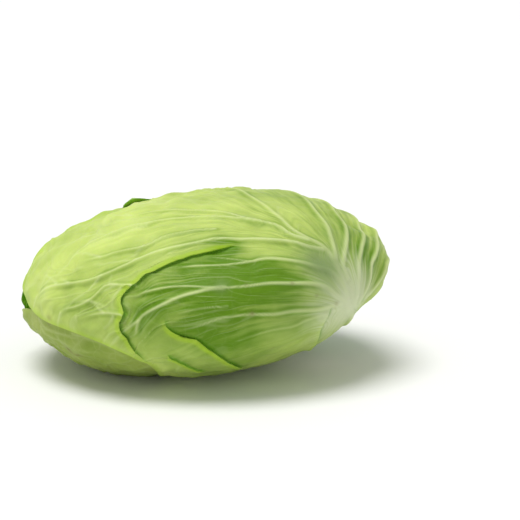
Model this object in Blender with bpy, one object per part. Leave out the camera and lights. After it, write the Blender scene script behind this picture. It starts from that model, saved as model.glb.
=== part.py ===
# Flat cabbage: one broad, oblate head wrapped by four big outer leaves, lying on its belly.
# X runs along the head, stem end to the right, Y away from the front, Z up.
# The shape functions work in millimetres, the finished meshes are in metres.

import math

import bmesh
import bpy
import numpy as np
from mathutils import Vector
from mathutils.geometry import delaunay_2d_cdt

for old in list(bpy.data.objects):
    bpy.data.objects.remove(old, do_unlink=True)

# Head: half axes of its oblate body, the lean of its long axis, and the flat it rests on.
HALF_LENGTH = 113.6
HALF_DEPTH = 104.6
HALF_HEIGHT = 53.6
LEAN_DEG = 7.0
FLAT_DROP = 51.8

# The eye in front of the head, from which the front leaf's ribs and folds were measured.
EYE_DISTANCE = 1226.0
EYE_RISE_DEG = 12.0
EYE_RIGHT = 36.2
EYE_UP = 13.5

# Wrapping: every leaf is a thin shell, laid over the next one down with a narrow air gap.
LEAF_THICK = 1.2
LAYER_GAP = 0.8
HEAD_GAP = 0.5
DRAPE_START = 4.5
DRAPE_WIDTH = 17.0
METRES = 0.001

# Cut stem at the lower right, sunk in a dimple.
STEM_WAY = (0.62, -0.08, -0.78)
STEM_RADIUS = 15.0
STEM_FLARE = 0.8
STEM_BEVEL = 1.2
STEM_SIDES = 24
STEM_FACE_DEPTH = 1.5
DIMPLE_DEPTH = 6.0
DIMPLE_FLAT = 18.0
DIMPLE_RIM = 34.0
SOCKET_DEPTH = 6.4
SOCKET_RIM = 25.0
CLEARANCE = 0.35

# Ribs: the shares of a rib's length at which it starts to sink and is gone.
RIB_SINK = 0.2
RIB_GONE = 1.06
SIDE_RIB_TALL = (1.5, 0.6)
SIDE_RIB_WIDE = (4.4, 3.5)

# Folds: a step in the blade, with the shares of its length over which it rises and dies away.
FOLD_WALL = 0.55
FOLD_RISE = 0.22
FOLD_DIE = 0.25

# Free margins: the waves round a leaf, and how far from the edge and the stem they reach.
WAVES_ROUND = 9
WAVE_DRIFTS = 4
WAVE_DRIFT = 1.3
WAVE_REACH = 12.0
WAVE_FREE = 30.0
RIM_CALM = 6.0

# Edges of the packed head's own outer leaves, where they show between the stalks.
HEAD_EDGE_RISE = 1.2
HEAD_EDGE_REACH = 18.0

# Spacing of the points: even over the head, millimetres near ribs, folds and margins.
PLAIN_COUNT = 900
STEM_RINGS = ((0.0, 1), (9.0, 8), (17.8, 15), (22.0, 18), (26.0, 20), (30.0, 22), (35.0, 24), (41.0, 26))
RING_CLEAR = 4.0
MARGIN_GUARD = 3.0
MARGIN_STEP = 5.8
RIB_STEP = 4.0
RIB_POINTS_PER_WIDTH = 1.55
FOLD_STEP = 6.0
FEATURE_CLEAR = 2.7
PLAIN_CLEAR = 5.2
HEAD_CLEAR = 3.7

# Skins: red, green and blue of each piece, and roughness.
BACK_COLOUR = (0.36, 0.52, 0.10)
FRONT_COLOUR = (0.50, 0.66, 0.17)
BELLY_COLOUR = (0.40, 0.50, 0.16)
UNDER_COLOUR = (0.20, 0.38, 0.04)
HEAD_COLOUR = (0.62, 0.72, 0.34)
STEM_COLOUR = (0.80, 0.82, 0.66)
LEAF_ROUGHNESS = 0.42
HEAD_ROUGHNESS = 0.45
STEM_ROUGHNESS = 0.55

HALF_AXES = np.array([HALF_LENGTH, HALF_DEPTH, HALF_HEIGHT])

# The body with its leaves on, a little larger, on which the measured lines lie.
SEEN_AXES = np.array([115.0, 106.0, 54.9])


def unit(v):
    v = np.asarray(v, float)
    return v / np.linalg.norm(v, axis=-1, keepdims=True)


STEM = unit(STEM_WAY)


def seen(x, z):
    """Way on the head that shows x right and z up of its middle, in mm, to an eye in front of it."""
    lean = math.radians(LEAN_DEG)
    rise = math.radians(EYE_RISE_DEG)
    up = np.array((0.0, math.sin(rise), math.cos(rise)))
    ahead = np.array((0.0, math.cos(rise), -math.sin(rise)))
    eye = np.array((EYE_RIGHT, 0.0, 0.0)) + EYE_UP * up - EYE_DISTANCE * ahead
    ray = np.array((x, 0.0, 0.0)) + z * up - eye
    turn = np.array(((math.cos(lean), 0, math.sin(lean)), (0, 1, 0), (-math.sin(lean), 0, math.cos(lean))))
    start = turn @ eye / SEEN_AXES
    ray = turn @ ray / SEEN_AXES
    qa = ray @ ray
    qb = 2 * start @ ray
    qc = start @ start - 1
    reach = (-qb - math.sqrt(max(qb * qb - 4 * qa * qc, 0.0))) / (2 * qa)
    return unit(start + reach * ray)


BASE = seen(92, -15)
TOWARD_BASE = unit(BASE - STEM * np.dot(BASE, STEM))
BESIDE_BASE = np.cross(STEM, TOWARD_BASE)


def round_stem(far, turn):
    """Way at far degrees from the stem, turned about it from the front leaf's base."""
    t = math.radians(turn)
    side = TOWARD_BASE * math.cos(t) + BESIDE_BASE * math.sin(t)
    return STEM * math.cos(math.radians(far)) + side * math.sin(math.radians(far))


def body(ways):
    return ways * HALF_AXES


def outward(ways):
    return unit(ways / HALF_AXES)


def smoothstep(t):
    t = np.clip(t, 0.0, 1.0)
    return t * t * (3 - 2 * t)


def leaned(at):
    """Places of the upright head, turned to the lean that it lies with."""
    lean = math.radians(LEAN_DEG)
    x = at[:, 0] * math.cos(lean) - at[:, 2] * math.sin(lean)
    z = at[:, 0] * math.sin(lean) + at[:, 2] * math.cos(lean)
    return np.stack([x, at[:, 1], z], axis=1)


def over_stem(at):
    """How far each place lies outside the plane across the stem, in mm."""
    return (at - body(STEM)) @ outward(STEM)


def near_stem(at, flat, rim):
    """1 within flat mm of the stem's axis, falling to 0 at rim mm, on the stem's side only."""
    over = over_stem(at)
    aside = np.linalg.norm(at - body(STEM) - over[:, None] * outward(STEM), axis=1)
    share = 1 - smoothstep((aside - flat) / (rim - flat))
    return np.where(over < -HALF_HEIGHT, 0.0, share)


def across_stem():
    """Two directions square to the stem and to each other."""
    side = unit(np.cross(outward(STEM), (0.0, 1.0, 0.0)))
    return side, np.cross(outward(STEM), side)


def curve(ways, step, closed=False):
    """A smooth line over the head through the given ways, with a point about every step mm."""
    pts = np.array(ways)
    n = len(pts)
    fine = []
    for i in range(n if closed else n - 1):
        if closed:
            p0, p1, p2, p3 = pts[i - 1], pts[i], pts[(i + 1) % n], pts[(i + 2) % n]
        else:
            p1, p2 = pts[i], pts[i + 1]
            p0 = pts[i - 1] if i else 2 * p1 - p2
            p3 = pts[i + 2] if i + 2 < n else 2 * p2 - p1
        for t in np.linspace(0, 1, 12, endpoint=False):
            fine.append(0.5 * (2 * p1 + (p2 - p0) * t + (2 * p0 - 5 * p1 + 4 * p2 - p3) * t * t
                               + (3 * p1 - p0 - 3 * p2 + p3) * t ** 3))
    fine.append(pts[0] if closed else pts[-1])
    fine = unit(np.array(fine))
    run = np.linalg.norm(np.diff(body(fine), axis=0), axis=1)
    length = np.concatenate([[0], np.cumsum(run)])
    count = max(2, int(round(length[-1] / step)))
    marks = np.linspace(0, length[-1], count + 1)
    out = np.stack([np.interp(marks, length, fine[:, k]) for k in range(3)], axis=1)
    if closed:
        out = out[:-1]
    return unit(out)


def from_line(places, line):
    """Distance in mm from each place to a line of places, how far along it, and on which side."""
    best = np.full(len(places), 1e9)
    along = np.zeros(len(places))
    side = np.zeros(len(places))
    up = unit(places / HALF_AXES ** 2)
    count = len(line) - 1
    for i in range(count):
        a = line[i]
        ab = line[i + 1] - a
        t = np.clip((places - a) @ ab / max(ab @ ab, 1e-9), 0, 1)
        off = places - a - t[:, None] * ab
        gap = np.linalg.norm(off, axis=1)
        near = gap < best
        best = np.where(near, gap, best)
        along = np.where(near, (i + t) / count, along)
        left = np.einsum("ij,ij->i", np.cross(up, ab), off)
        side = np.where(near, np.sign(left), side)
    return best, along, side


class Chart:
    """Flat map of the head round one way, seen from the opposite way, so that shapes stay true."""

    def __init__(self, centre):
        self.c = unit(centre)
        self.e1 = unit(np.cross(self.c, (0.31, 0.17, 0.93)))
        self.e2 = np.cross(self.c, self.e1)

    def flat(self, ways):
        back = np.maximum(1 + ways @ self.c, 1e-6)
        return np.stack([ways @ self.e1 / back, ways @ self.e2 / back], axis=1)

    def way(self, flat):
        x = flat[:, :1]
        y = flat[:, 1:2]
        grow = x * x + y * y
        return (2 * x * self.e1 + 2 * y * self.e2 + (1 - grow) * self.c) / (1 + grow)


def in_loop(points, loop):
    inside = np.zeros(len(points), bool)
    j = len(loop) - 1
    for i in range(len(loop)):
        xi, yi = loop[i]
        xj, yj = loop[j]
        if yi != yj:
            cross = (xj - xi) * (points[:, 1] - yi) / (yj - yi) + xi
            inside ^= ((yi > points[:, 1]) != (yj > points[:, 1])) & (points[:, 0] < cross)
        j = i
    return inside


class Leaf:
    """One outer leaf: its margin, its ribs and the folds across its blade."""

    def __init__(self, name, centre, margin, ribs, folds, ruffle, colour):
        self.name = name
        self.chart = Chart(centre)
        self.margin = curve(margin, MARGIN_STEP, closed=True)
        self.loop = self.chart.flat(self.margin)
        ring = np.vstack([self.margin, self.margin[:1]])
        self.edge = body(ring)
        self.ribs = [(curve(w, RIB_STEP), h, wd) for w, h, wd in ribs]
        self.folds = [(curve(w, FOLD_STEP), h, reach) for w, h, reach in folds]
        self.ruffle = ruffle
        self.colour = colour

    def guard(self):
        """Ways just outside the margin, where the leaves below are still held down clear of it."""
        at = body(self.margin)
        run = unit(np.roll(at, -1, axis=0) - np.roll(at, 1, axis=0))
        over = unit(np.cross(outward(self.margin), run))
        both = np.vstack([unit((at + hand * MARGIN_GUARD * over) / HALF_AXES) for hand in (-1, 1)])
        return both[~in_loop(self.chart.flat(both), self.loop)]

    def cover(self, ways):
        inside = in_loop(self.chart.flat(ways), self.loop)
        gap, _, _ = from_line(body(ways), self.edge)
        return np.where(inside, 1.0, 1.0 - smoothstep((gap - DRAPE_START) / DRAPE_WIDTH))


def sight(*pairs):
    """Ways through places that show from the front."""
    return [seen(x, z) for x, z in pairs]


def hidden(*pairs):
    """Ways through places that the front doesn't show."""
    return [round_stem(far, turn) for far, turn in pairs]


# The front leaf's ribs, midrib first, each from the stalk outwards, with its height and half width
# at both ends.
FRONT_RIBS = [
    (hidden((14, -10), (28, -4)) + sight((92, -15), (89, 1), (84, 12), (76, 22), (67, 27), (58, 32),
     (51, 38), (40, 47), (29, 54), (19, 58)) + hidden((136, -80), (138, -100)), (2.9, 0.8), (7.0, 4.0)),
    (sight((57, 32), (46, 37), (31, 40), (13, 44), (-5, 45), (-24, 45), (-37, 43), (-48, 41)),
     (1.1, 0.6), (4.5, 3.5)),
    (sight((67, 26), (56, 30), (46, 36), (31, 39), (8, 41), (-10, 40), (-28, 38), (-42, 35), (-55, 31),
     (-68, 25), (-82, 17)), (1.4, 0.7), (4.5, 3.5)),
    (sight((76, 20), (67, 22), (58, 25), (40, 27), (22, 27), (8, 26), (-5, 23), (-19, 20), (-30, 17),
     (-42, 12), (-51, 8), (-60, 4), (-73, 0), (-93, -3), (-98, -5), (-107, -11)), (2.0, 0.8), (5.0, 3.6)),
    (sight((89, -2), (82, 6), (74, 9), (65, 12), (54, 14), (40, 15), (30, 13), (13, 11), (-5, 10),
     (-20, 9)), (1.9, 0.6), (4.6, 3.6)),
    (sight((91, -12), (85, -9), (80, -4), (74, -2), (67, -1), (57, -1), (42, -1), (27, -3), (9, -4),
     (-10, -3), (-24, -4), (-37, -7), (-47, -11)), (1.9, 0.7), (4.6, 3.6)),
    (sight((-4, -7), (-15, -10), (-28, -16), (-37, -21), (-41, -26), (-42, -32), (-45, -39)),
     (1.0, 0.6), (3.8, 3.4)),
    (sight((88, -14), (82, -16), (74, -18), (58, -19), (45, -21), (30, -21), (13, -23), (4, -26),
     (-5, -29), (-19, -32)), (1.6, 0.7), (4.4, 3.6)),
    (sight((64, -26), (58, -29), (45, -31), (31, -35), (20, -39), (12, -43)), (1.2, 0.6), (4.0, 3.4)),
    (sight((84, 14), (81, 28), (79, 34), (73, 42), (68, 48), (60, 54)) + hidden((112, -84)),
     (2.0, 0.8), (4.8, 3.6)),
    (sight((92, 2), (89, 10), (90, 19), (91, 30), (88, 39), (83, 45), (76, 50)) + hidden((96, -80)),
     (2.1, 0.8), (4.8, 3.6)),
    (sight((98, -9), (99, 1), (99, 12), (100, 20), (101.5, 27), (101.5, 32)) + hidden((84, -62), (90, -66)),
     (1.9, 0.8), (4.6, 3.6)),
    (sight((100, -12), (104, -5), (106, 2), (106, 10), (108, 16), (109, 22))
     + hidden((70, -58), (77, -63), (84, -68)), (1.7, 0.8), (4.4, 3.6)),
    (sight((104, -10), (109, -3), (112, 5), (113, 11)) + hidden((54, -52), (60, -57), (67, -62)),
     (1.6, 0.8), (4.4, 3.6)),
    (sight((-42, -3), (-51, -3), (-60, -3), (-64, -6), (-71, -12), (-80, -16), (-88, -18), (-92, -23)),
     (0.9, 0.5), (3.6, 3.4)),
    (sight((-51, -21), (-60, -20), (-69, -21), (-78, -24)), (0.9, 0.5), (3.6, 3.4)),
    (sight((8, 33), (-10, 31), (-24, 28), (-36, 22), (-55, 18), (-64, 15), (-78, 13)),
     (0.8, 0.5), (3.6, 3.4)),
]

# The folds across its blade, with their height and reach. The last is the groove beside its stalk.
FRONT_FOLDS = [
    (sight((24, 24), (12, 21), (0, 18), (-16, 13), (-32, 6), (-42, -2), (-50, -10), (-52, -15),
     (-51, -21), (-51, -28), (-47, -37), (-41, -44), (-38, -50)), 2.3, 24.0),
    (sight((-24, -23), (-23, -29), (-16, -34), (-9, -36), (-4, -37), (3, -42), (10, -47), (18, -52)),
     1.9, 18.0),
    (sight((80.5, -20), (78, -25), (75, -31), (72.5, -38)) + hidden((17, 58)), 1.3, 7.0),
]

FRONT_MARGIN = (
    hidden((12, 8), (11.5, -12), (12, -32), (22, -40), (34, -60), (48, -80), (64, -94), (84, -103),
           (106, -108), (128, -113), (141, -130), (147, -155), (148, 172), (144, 148))
    + sight((-113, -8.5), (-111.5, -14), (-108, -19.5), (-101, -25), (-89, -30), (-75, -35), (-61, -40),
            (-48, -46), (-39, -51.5), (-30, -55.5))
    + hidden((56, 104), (51, 115), (44, 122), (34, 122), (25, 114), (20, 98), (17, 76), (14.5, 56),
             (13, 40), (12.3, 24))
)

BACK_MARGIN = hidden(
    (12, -112), (24, -95), (38, -86), (56, -84), (76, -86), (98, -89), (120, -92), (138, -96),
    (149, -93), (156, -83), (161, -90), (157, -115), (151, -140), (145, -168), (134, 168), (118, 160),
    (98, 160), (76, 164), (56, 172), (36, -178), (22, -170), (12, -160))
BELLY_MARGIN = hidden(
    (12, 122), (22, 112), (36, 94), (50, 78), (64, 66), (80, 58), (96, 58), (109, 68), (119, 82),
    (127, 100), (127, 114), (120, 130), (116, 152), (106, 168), (90, 177), (74, -178), (54, -176),
    (36, 178), (22, 172), (12, 164))
UNDER_MARGIN = hidden(
    (12, 126), (26, 112), (48, 100), (74, 88), (98, 80), (120, 78), (138, 86), (152, 104), (160, 145),
    (156, 180), (145, 178), (132, 170), (112, 160), (88, 154), (62, 152), (36, 156), (22, 158), (12, 156))


def side_rib(start, turn, hand, reach, tip):
    """A rib that leaves the midrib at start degrees from the stem and bends along the leaf."""
    offset = 4.0 * hand
    step_out = 8.5
    bend = 3.0
    line = []
    for step in range(7):
        out = start + step * step_out + offset
        if out < tip - 6.0:
            line.append((out, turn + hand * reach * (1 - math.exp(-step / bend))))
    return line


def feathered(turn, tip, spread, starts, tall, wide):
    """A plain leaf's ribs: a midrib away from the stem and paired side ribs that bend along it."""
    midrib = [(far, turn) for far in range(14, tip, 12)] + [(tip, turn)]
    ribs = [(hidden(*midrib), (tall, 0.7), (wide, 3.8))]
    for k, start in enumerate(starts):
        for hand, reach in zip((-1, 1), spread):
            line = side_rib(start, turn, hand, reach * (1.0 - 0.07 * k), tip)
            if len(line) > 2:
                ribs.append((hidden(*line), SIDE_RIB_TALL, SIDE_RIB_WIDE))
    return ribs


def back_leaf():
    """The topmost leaf, behind, wrapped up to the crown."""
    ribs = feathered(-138, 146, (52, 56), (20, 38, 57, 78, 100), 2.6, 6.5)
    return Leaf("back_leaf", round_stem(88, -140), BACK_MARGIN, ribs, [], (0.5, 1.8), BACK_COLOUR)


def front_leaf():
    """The great leaf over the front and top, folded twice across its blade."""
    return Leaf("front_leaf", (-0.05, -0.62, 0.78), FRONT_MARGIN, FRONT_RIBS, FRONT_FOLDS, (0.25, 0.7),
                FRONT_COLOUR)


def belly_leaf():
    """The leaf that the cabbage lies on, showing as a strip along the bottom of the front."""
    ribs = feathered(140, 120, (52, 46), (22, 42, 64, 86), 2.0, 5.5)
    return Leaf("belly_leaf", round_stem(68, 138), BELLY_MARGIN, ribs, [], (0.3, 0.8), BELLY_COLOUR)


def under_leaf():
    """The dark leaf below the others, showing at the left tip."""
    ribs = feathered(134, 156, (34, 34), (70, 100, 124), 1.4, 4.5)
    return Leaf("under_leaf", round_stem(92, 132), UNDER_MARGIN, ribs, [], (0.2, 0.8), UNDER_COLOUR)


# The outer leaves, topmost first.
LEAVES = [back_leaf(), front_leaf(), belly_leaf(), under_leaf()]

HEAD_EDGES = [
    hidden((24, -40), (40, -96), (70, -118), (100, -110)),
    hidden((20, 60), (34, 92), (60, 150), (96, 172)),
    hidden((26, -150), (60, -176), (100, 168), (140, 140)),
]

# Broad swells and hollows of the whole head: way, spread in mm, height in mm.
SWELLS = [
    (seen(40, 58), 30.0, 1.4),
    (seen(97, 37), 9.0, -3.4),
    (seen(109, 28), 8.0, 3.2),
    (seen(114, 8), 12.0, 4.2),
    (round_stem(22, -12), 14.0, -2.2),
    (round_stem(24, -38), 14.0, -1.9),
    (round_stem(28, -66), 14.0, -0.7),
    (seen(74, -38), 15.0, 2.4),
    (round_stem(102, 112), 17.0, -2.0),
    (seen(-104, 17), 20.0, 2.4),
    (seen(-84, 34), 22.0, 1.4),
    (seen(60, -2), 26.0, -0.8),
    (seen(20, 20), 16.0, -0.8),
    (seen(-60, 34), 34.0, 0.6),
]


def depth_over(ways, order):
    """How deep the leaves laid over the one of this order push it down."""
    deep = np.zeros(len(ways))
    for leaf in LEAVES[:order]:
        deep += (LEAF_THICK + LAYER_GAP) * leaf.cover(ways)
    return deep


def bare(ways, order):
    """1 where no leaf lies over the one of this order, 0 where one does."""
    free = np.ones(len(ways))
    for leaf in LEAVES[:order]:
        free *= 1 - leaf.cover(ways)
    return free


def place(ways, height, deep):
    """Place in mm, in the leaning head, at a height above the plain body and under deep mm of leaf."""
    at = body(ways)
    up = outward(ways)
    swell = np.zeros(len(ways))
    for way, spread, rise in SWELLS:
        swell += rise * np.exp(-np.sum((at - body(way)) ** 2, axis=1) / (2 * spread ** 2))
    # The stem's dimple flattens the body square to the stem.
    sink = near_stem(at, DIMPLE_FLAT, DIMPLE_RIM)[:, None]
    drop = (-DIMPLE_DEPTH - over_stem(at))[:, None]
    at = at + swell[:, None] * (1 - sink) * up + sink * drop * outward(STEM)
    up = unit(up * (1 - sink) + sink * outward(STEM))
    at = leaned(at + height[:, None] * up)
    at[:, 2] = np.maximum(at[:, 2], deep - FLAT_DROP) + FLAT_DROP
    return at


def plain_ways():
    """Ways spread evenly over the whole head, with closer rings round the stem."""
    k = np.arange(PLAIN_COUNT) + 0.5
    height = 1 - 2 * k / PLAIN_COUNT
    turn = math.pi * (1 + math.sqrt(5)) * k
    flat = np.sqrt(1 - height ** 2)
    ways = np.stack([flat * np.sin(turn), height, flat * np.cos(turn)], axis=1)
    apart = np.linalg.norm(body(ways) - body(STEM), axis=1)
    rings = []
    side, other = across_stem()
    for n, (radius, count) in enumerate(STEM_RINGS):
        for i in range(count):
            t = 2 * math.pi * (i + 0.5 * (n % 2)) / count
            rings.append(body(STEM) + radius * (math.cos(t) * side + math.sin(t) * other))
    return np.vstack([unit(np.array(rings) / HALF_AXES), ways[apart > STEM_RINGS[-1][0] + RING_CLEAR]])


PLAIN = plain_ways()


def rib_relief(ways, ribs):
    """Height of the ribs, each a narrow ridge that sinks into the blade towards its tip."""
    at = body(ways)
    high = np.zeros(len(ways))
    for line, (tall_in, tall_out), (wide_in, wide_out) in ribs:
        gap, along, _ = from_line(at, body(line))
        wide = wide_in + (wide_out - wide_in) * along
        tall = (tall_in + (tall_out - tall_in) * along) * smoothstep((RIB_GONE - along) / RIB_SINK)
        high = np.maximum(high, tall * np.clip(1 - gap / wide, 0, 1))
    return high


def fold_relief(ways, folds, marks):
    """Rise of the blade towards each fold, on the side that lies on top."""
    at = body(ways)
    high = np.zeros(len(ways))
    for k, (line, tall, reach) in enumerate(folds):
        gap, along, side = from_line(at, body(line))
        side = np.where(marks[:, k] != 0, marks[:, k], side)
        ends = smoothstep(along / FOLD_RISE) * smoothstep((1 - along) / FOLD_DIE)
        high += np.where(side < 0, tall * ends * np.exp(-(gap / reach) ** 2), 0.0)
    return high


class Gathered:
    """Ways gathered for one leaf, each clear of those before it, and its side of each fold."""

    def __init__(self, leaf):
        self.leaf = leaf
        self.ways = list(leaf.margin)
        self.places = list(body(leaf.margin))
        self.sides = [self.no_side()] * len(leaf.margin)

    def no_side(self):
        return (0,) * len(self.leaf.folds)

    def add(self, way, side):
        self.ways.append(way)
        self.places.append(body(way))
        self.sides.append(side)

    def add_clear(self, ways, clear):
        """Adds the ways inside the margin that keep clear mm from all that is there."""
        inside = in_loop(self.leaf.chart.flat(ways), self.leaf.loop)
        for way in ways[inside]:
            if np.min(np.linalg.norm(np.array(self.places) - body(way), axis=1)) > clear:
                self.add(way, self.no_side())

    def add_fold(self, number, line):
        """Adds the foot and the lip of one fold, and returns the edges along them."""
        edges = []
        for hand in (-1, 1):
            first = len(self.ways)
            side = tuple(hand if k == number else 0 for k in range(len(self.leaf.folds)))
            for way in beside(line, hand * FOLD_WALL)[1:-1]:
                self.add(way, side)
            edges += [(i, i + 1) for i in range(first, len(self.ways) - 1)]
        return edges


def beside(line, offset):
    """Ways along a line, moved offset mm to its left, by one amount or by one for each way."""
    at = body(line)
    run = unit(np.gradient(at, axis=0))
    over = unit(np.cross(outward(line), run))
    return unit((at + np.reshape(offset, (-1, 1)) * over) / HALF_AXES)


def gather(leaf, order):
    """All ways of a leaf, most needed first: margin, folds, edges above, ribs, then plain ones."""
    points = Gathered(leaf)
    count = len(leaf.margin)
    edges = [(i, (i + 1) % count) for i in range(count)]
    for number, (line, _, _) in enumerate(leaf.folds):
        edges += points.add_fold(number, line)
    for above in LEAVES[:order]:
        points.add_clear(above.guard(), FEATURE_CLEAR)
    crests = []
    for line, _, (wide_in, wide_out) in leaf.ribs:
        crest = curve(line[::2], RIB_POINTS_PER_WIDTH * wide_out)
        crests.append((crest, np.linspace(wide_in, wide_out, len(crest))))
    for crest, _ in crests:
        points.add_clear(crest, FEATURE_CLEAR)
    for crest, wide in crests:
        for hand in (-1, 1):
            points.add_clear(beside(crest, hand * wide), FEATURE_CLEAR)
    points.add_clear(PLAIN, PLAIN_CLEAR)
    return points, edges


def leaf_faces(leaf, order):
    """Ways and triangles of a leaf, and each way's side of the folds."""
    points, edges = gather(leaf, order)
    rim = list(range(len(leaf.margin)))
    flat = [Vector(p) for p in leaf.chart.flat(np.array(points.ways))]
    spots, _, faces, sources, _, _ = delaunay_2d_cdt(flat, edges, [rim], 1, 1e-6, True)
    spots = np.array([tuple(v) for v in spots])
    middles = np.array([spots[list(f)].mean(axis=0) for f in faces])
    faces = [tuple(f) for f, inside in zip(faces, in_loop(middles, leaf.loop)) if inside]
    used = sorted({i for f in faces for i in f})
    number = {old: new for new, old in enumerate(used)}
    faces = [tuple(number[i] for i in f) for f in faces]
    marks = [points.sides[sources[i][0]] if sources[i] else points.no_side() for i in used]
    return leaf.chart.way(spots[used]), faces, np.array(marks)


def skin(name, colour, roughness):
    mat = bpy.data.materials.new(name + "_skin")
    mat.use_nodes = True
    shader = mat.node_tree.nodes["Principled BSDF"]
    shader.inputs["Base Color"].default_value = (*colour, 1.0)
    shader.inputs["Roughness"].default_value = roughness
    shader.inputs["Metallic"].default_value = 0.0
    return mat


def make_object(name, points, faces, colour, roughness):
    """One closed body from places in mm."""
    mesh = bpy.data.meshes.new(name)
    mesh.from_pydata([tuple(p) for p in points * METRES], [], faces)
    bm = bmesh.new()
    bm.from_mesh(mesh)
    bmesh.ops.triangulate(bm, faces=bm.faces)
    bmesh.ops.recalc_face_normals(bm, faces=bm.faces)
    bm.to_mesh(mesh)
    bm.free()
    mesh.shade_smooth()
    mesh.materials.append(skin(name, colour, roughness))
    obj = bpy.data.objects.new(name, mesh)
    bpy.context.scene.collection.objects.link(obj)
    return obj


def margin_lift(leaf, ways, order):
    """The free margin stands off the head in slow waves."""
    gap, along, _ = from_line(body(ways), leaf.edge)
    calm, lively = leaf.ruffle
    once_round = along * 2 * math.pi
    wave = 0.5 + 0.5 * np.sin(once_round * WAVES_ROUND + WAVE_DRIFT * np.sin(once_round * WAVE_DRIFTS))
    near_edge = np.clip(1 - gap / WAVE_REACH, 0, 1) ** 2
    far = np.linalg.norm(body(ways) - body(STEM), axis=1)
    off_stem = smoothstep((far - WAVE_FREE) / WAVE_FREE)
    return (calm + lively * wave) * near_edge * bare(ways, order) * off_stem


def shell_faces(faces, count):
    """Outer faces, the same faces turned over for the inner side, and the wall round the rim."""
    open_edges = {}
    for f in faces:
        for a, b in zip(f, f[1:] + f[:1]):
            if (b, a) in open_edges:
                del open_edges[(b, a)]
            else:
                open_edges[(a, b)] = True
    inner = [tuple(i + count for i in reversed(f)) for f in faces]
    wall = [(b, a, a + count, b + count) for a, b in open_edges]
    return faces + inner + wall


def make_leaf(leaf, order):
    """A leaf as a thin curved shell under the leaves that lie over it."""
    ways, faces, marks = leaf_faces(leaf, order)
    deep = depth_over(ways, order)
    lift = margin_lift(leaf, ways, order)
    rim_gap, _, _ = from_line(body(ways), leaf.edge)
    relief = rib_relief(ways, leaf.ribs) * smoothstep(rim_gap / RIM_CALM)
    relief = relief + fold_relief(ways, leaf.folds, marks)
    outer = place(ways, lift - deep + relief * bare(ways, order), deep)
    inner = place(ways, lift - deep - LEAF_THICK, deep + LEAF_THICK)
    shell = shell_faces(faces, len(ways))
    return make_object(leaf.name, np.vstack([outer, inner]), shell, leaf.colour, LEAF_ROUGHNESS)


def head_faces():
    """Ways all over the head, closer where a leaf's margin lies on it, and their hull's faces."""
    ways = list(PLAIN)
    for leaf in LEAVES:
        for way in leaf.guard():
            if np.min(np.linalg.norm(body(np.array(ways)) - body(way), axis=1)) > HEAD_CLEAR:
                ways.append(way)
    bm = bmesh.new()
    for way in ways:
        bm.verts.new(way)
    bmesh.ops.convex_hull(bm, input=bm.verts)
    bm.verts.index_update()
    ways = np.array([tuple(v.co) for v in bm.verts])
    faces = [tuple(v.index for v in f.verts) for f in bm.faces]
    bm.free()
    return ways, faces


def make_head():
    """The inner leaves, packed into one dense ball, with the edges of their outer layer."""
    ways, faces = head_faces()
    order = len(LEAVES)
    at = body(ways)
    socket = SOCKET_DEPTH * near_stem(at, DIMPLE_FLAT, SOCKET_RIM)
    deep = np.maximum(depth_over(ways, order) + HEAD_GAP, socket)
    relief = np.zeros(len(ways))
    for line in HEAD_EDGES:
        gap, _, side = from_line(at, body(curve(line, MARGIN_STEP)))
        relief += np.where(side < 0, HEAD_EDGE_RISE * np.exp(-(gap / HEAD_EDGE_REACH) ** 2), 0.0)
    points = place(ways, relief * bare(ways, order) - deep, deep)
    return make_object("packed_head", points, faces, HEAD_COLOUR, HEAD_ROUGHNESS)


def make_stem():
    """The cut stem, a short turned plug in the dimple."""
    top = -STEM_FACE_DEPTH
    bottom = -DIMPLE_DEPTH - SOCKET_DEPTH + CLEARANCE
    profile = [(0.0, top), (STEM_RADIUS - STEM_BEVEL, top), (STEM_RADIUS, top - STEM_BEVEL),
               (STEM_RADIUS + STEM_FLARE, bottom), (0.0, bottom)]
    bm = bmesh.new()
    verts = [bm.verts.new((r, 0.0, z)) for r, z in profile]
    edges = [bm.edges.new((a, b)) for a, b in zip(verts, verts[1:])]
    bmesh.ops.spin(bm, geom=verts + edges, cent=(0, 0, 0), axis=(0, 0, 1), angle=2 * math.pi,
                   steps=STEM_SIDES)
    bmesh.ops.remove_doubles(bm, verts=bm.verts, dist=1e-4)
    bm.verts.index_update()
    side, other = across_stem()
    turned = np.array([tuple(v.co) for v in bm.verts]) @ np.array([side, other, outward(STEM)])
    faces = [tuple(v.index for v in f.verts) for f in bm.faces]
    bm.free()
    points = leaned(body(STEM) + turned) + np.array([0.0, 0.0, FLAT_DROP])
    obj = make_object("stem", points, faces, STEM_COLOUR, STEM_ROUGHNESS)
    obj.data.set_sharp_from_angle(angle=math.radians(40.0))
    return obj


pieces = [make_leaf(leaf, order) for order, leaf in enumerate(LEAVES)]
pieces.append(make_head())
pieces.append(make_stem())

# The origin stands under the middle of the whole cabbage's box.
corners = np.array([tuple(v.co) for obj in pieces for v in obj.data.vertices])
middle = (corners.min(axis=0) + corners.max(axis=0)) / 2
shift = Vector((-middle[0], -middle[1], -corners.min(axis=0)[2]))
for obj in pieces:
    for v in obj.data.vertices:
        v.co += shift
    obj.data.update()
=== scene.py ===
import math
import random

import bpy
import numpy as np
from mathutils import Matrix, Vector, noise


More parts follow.
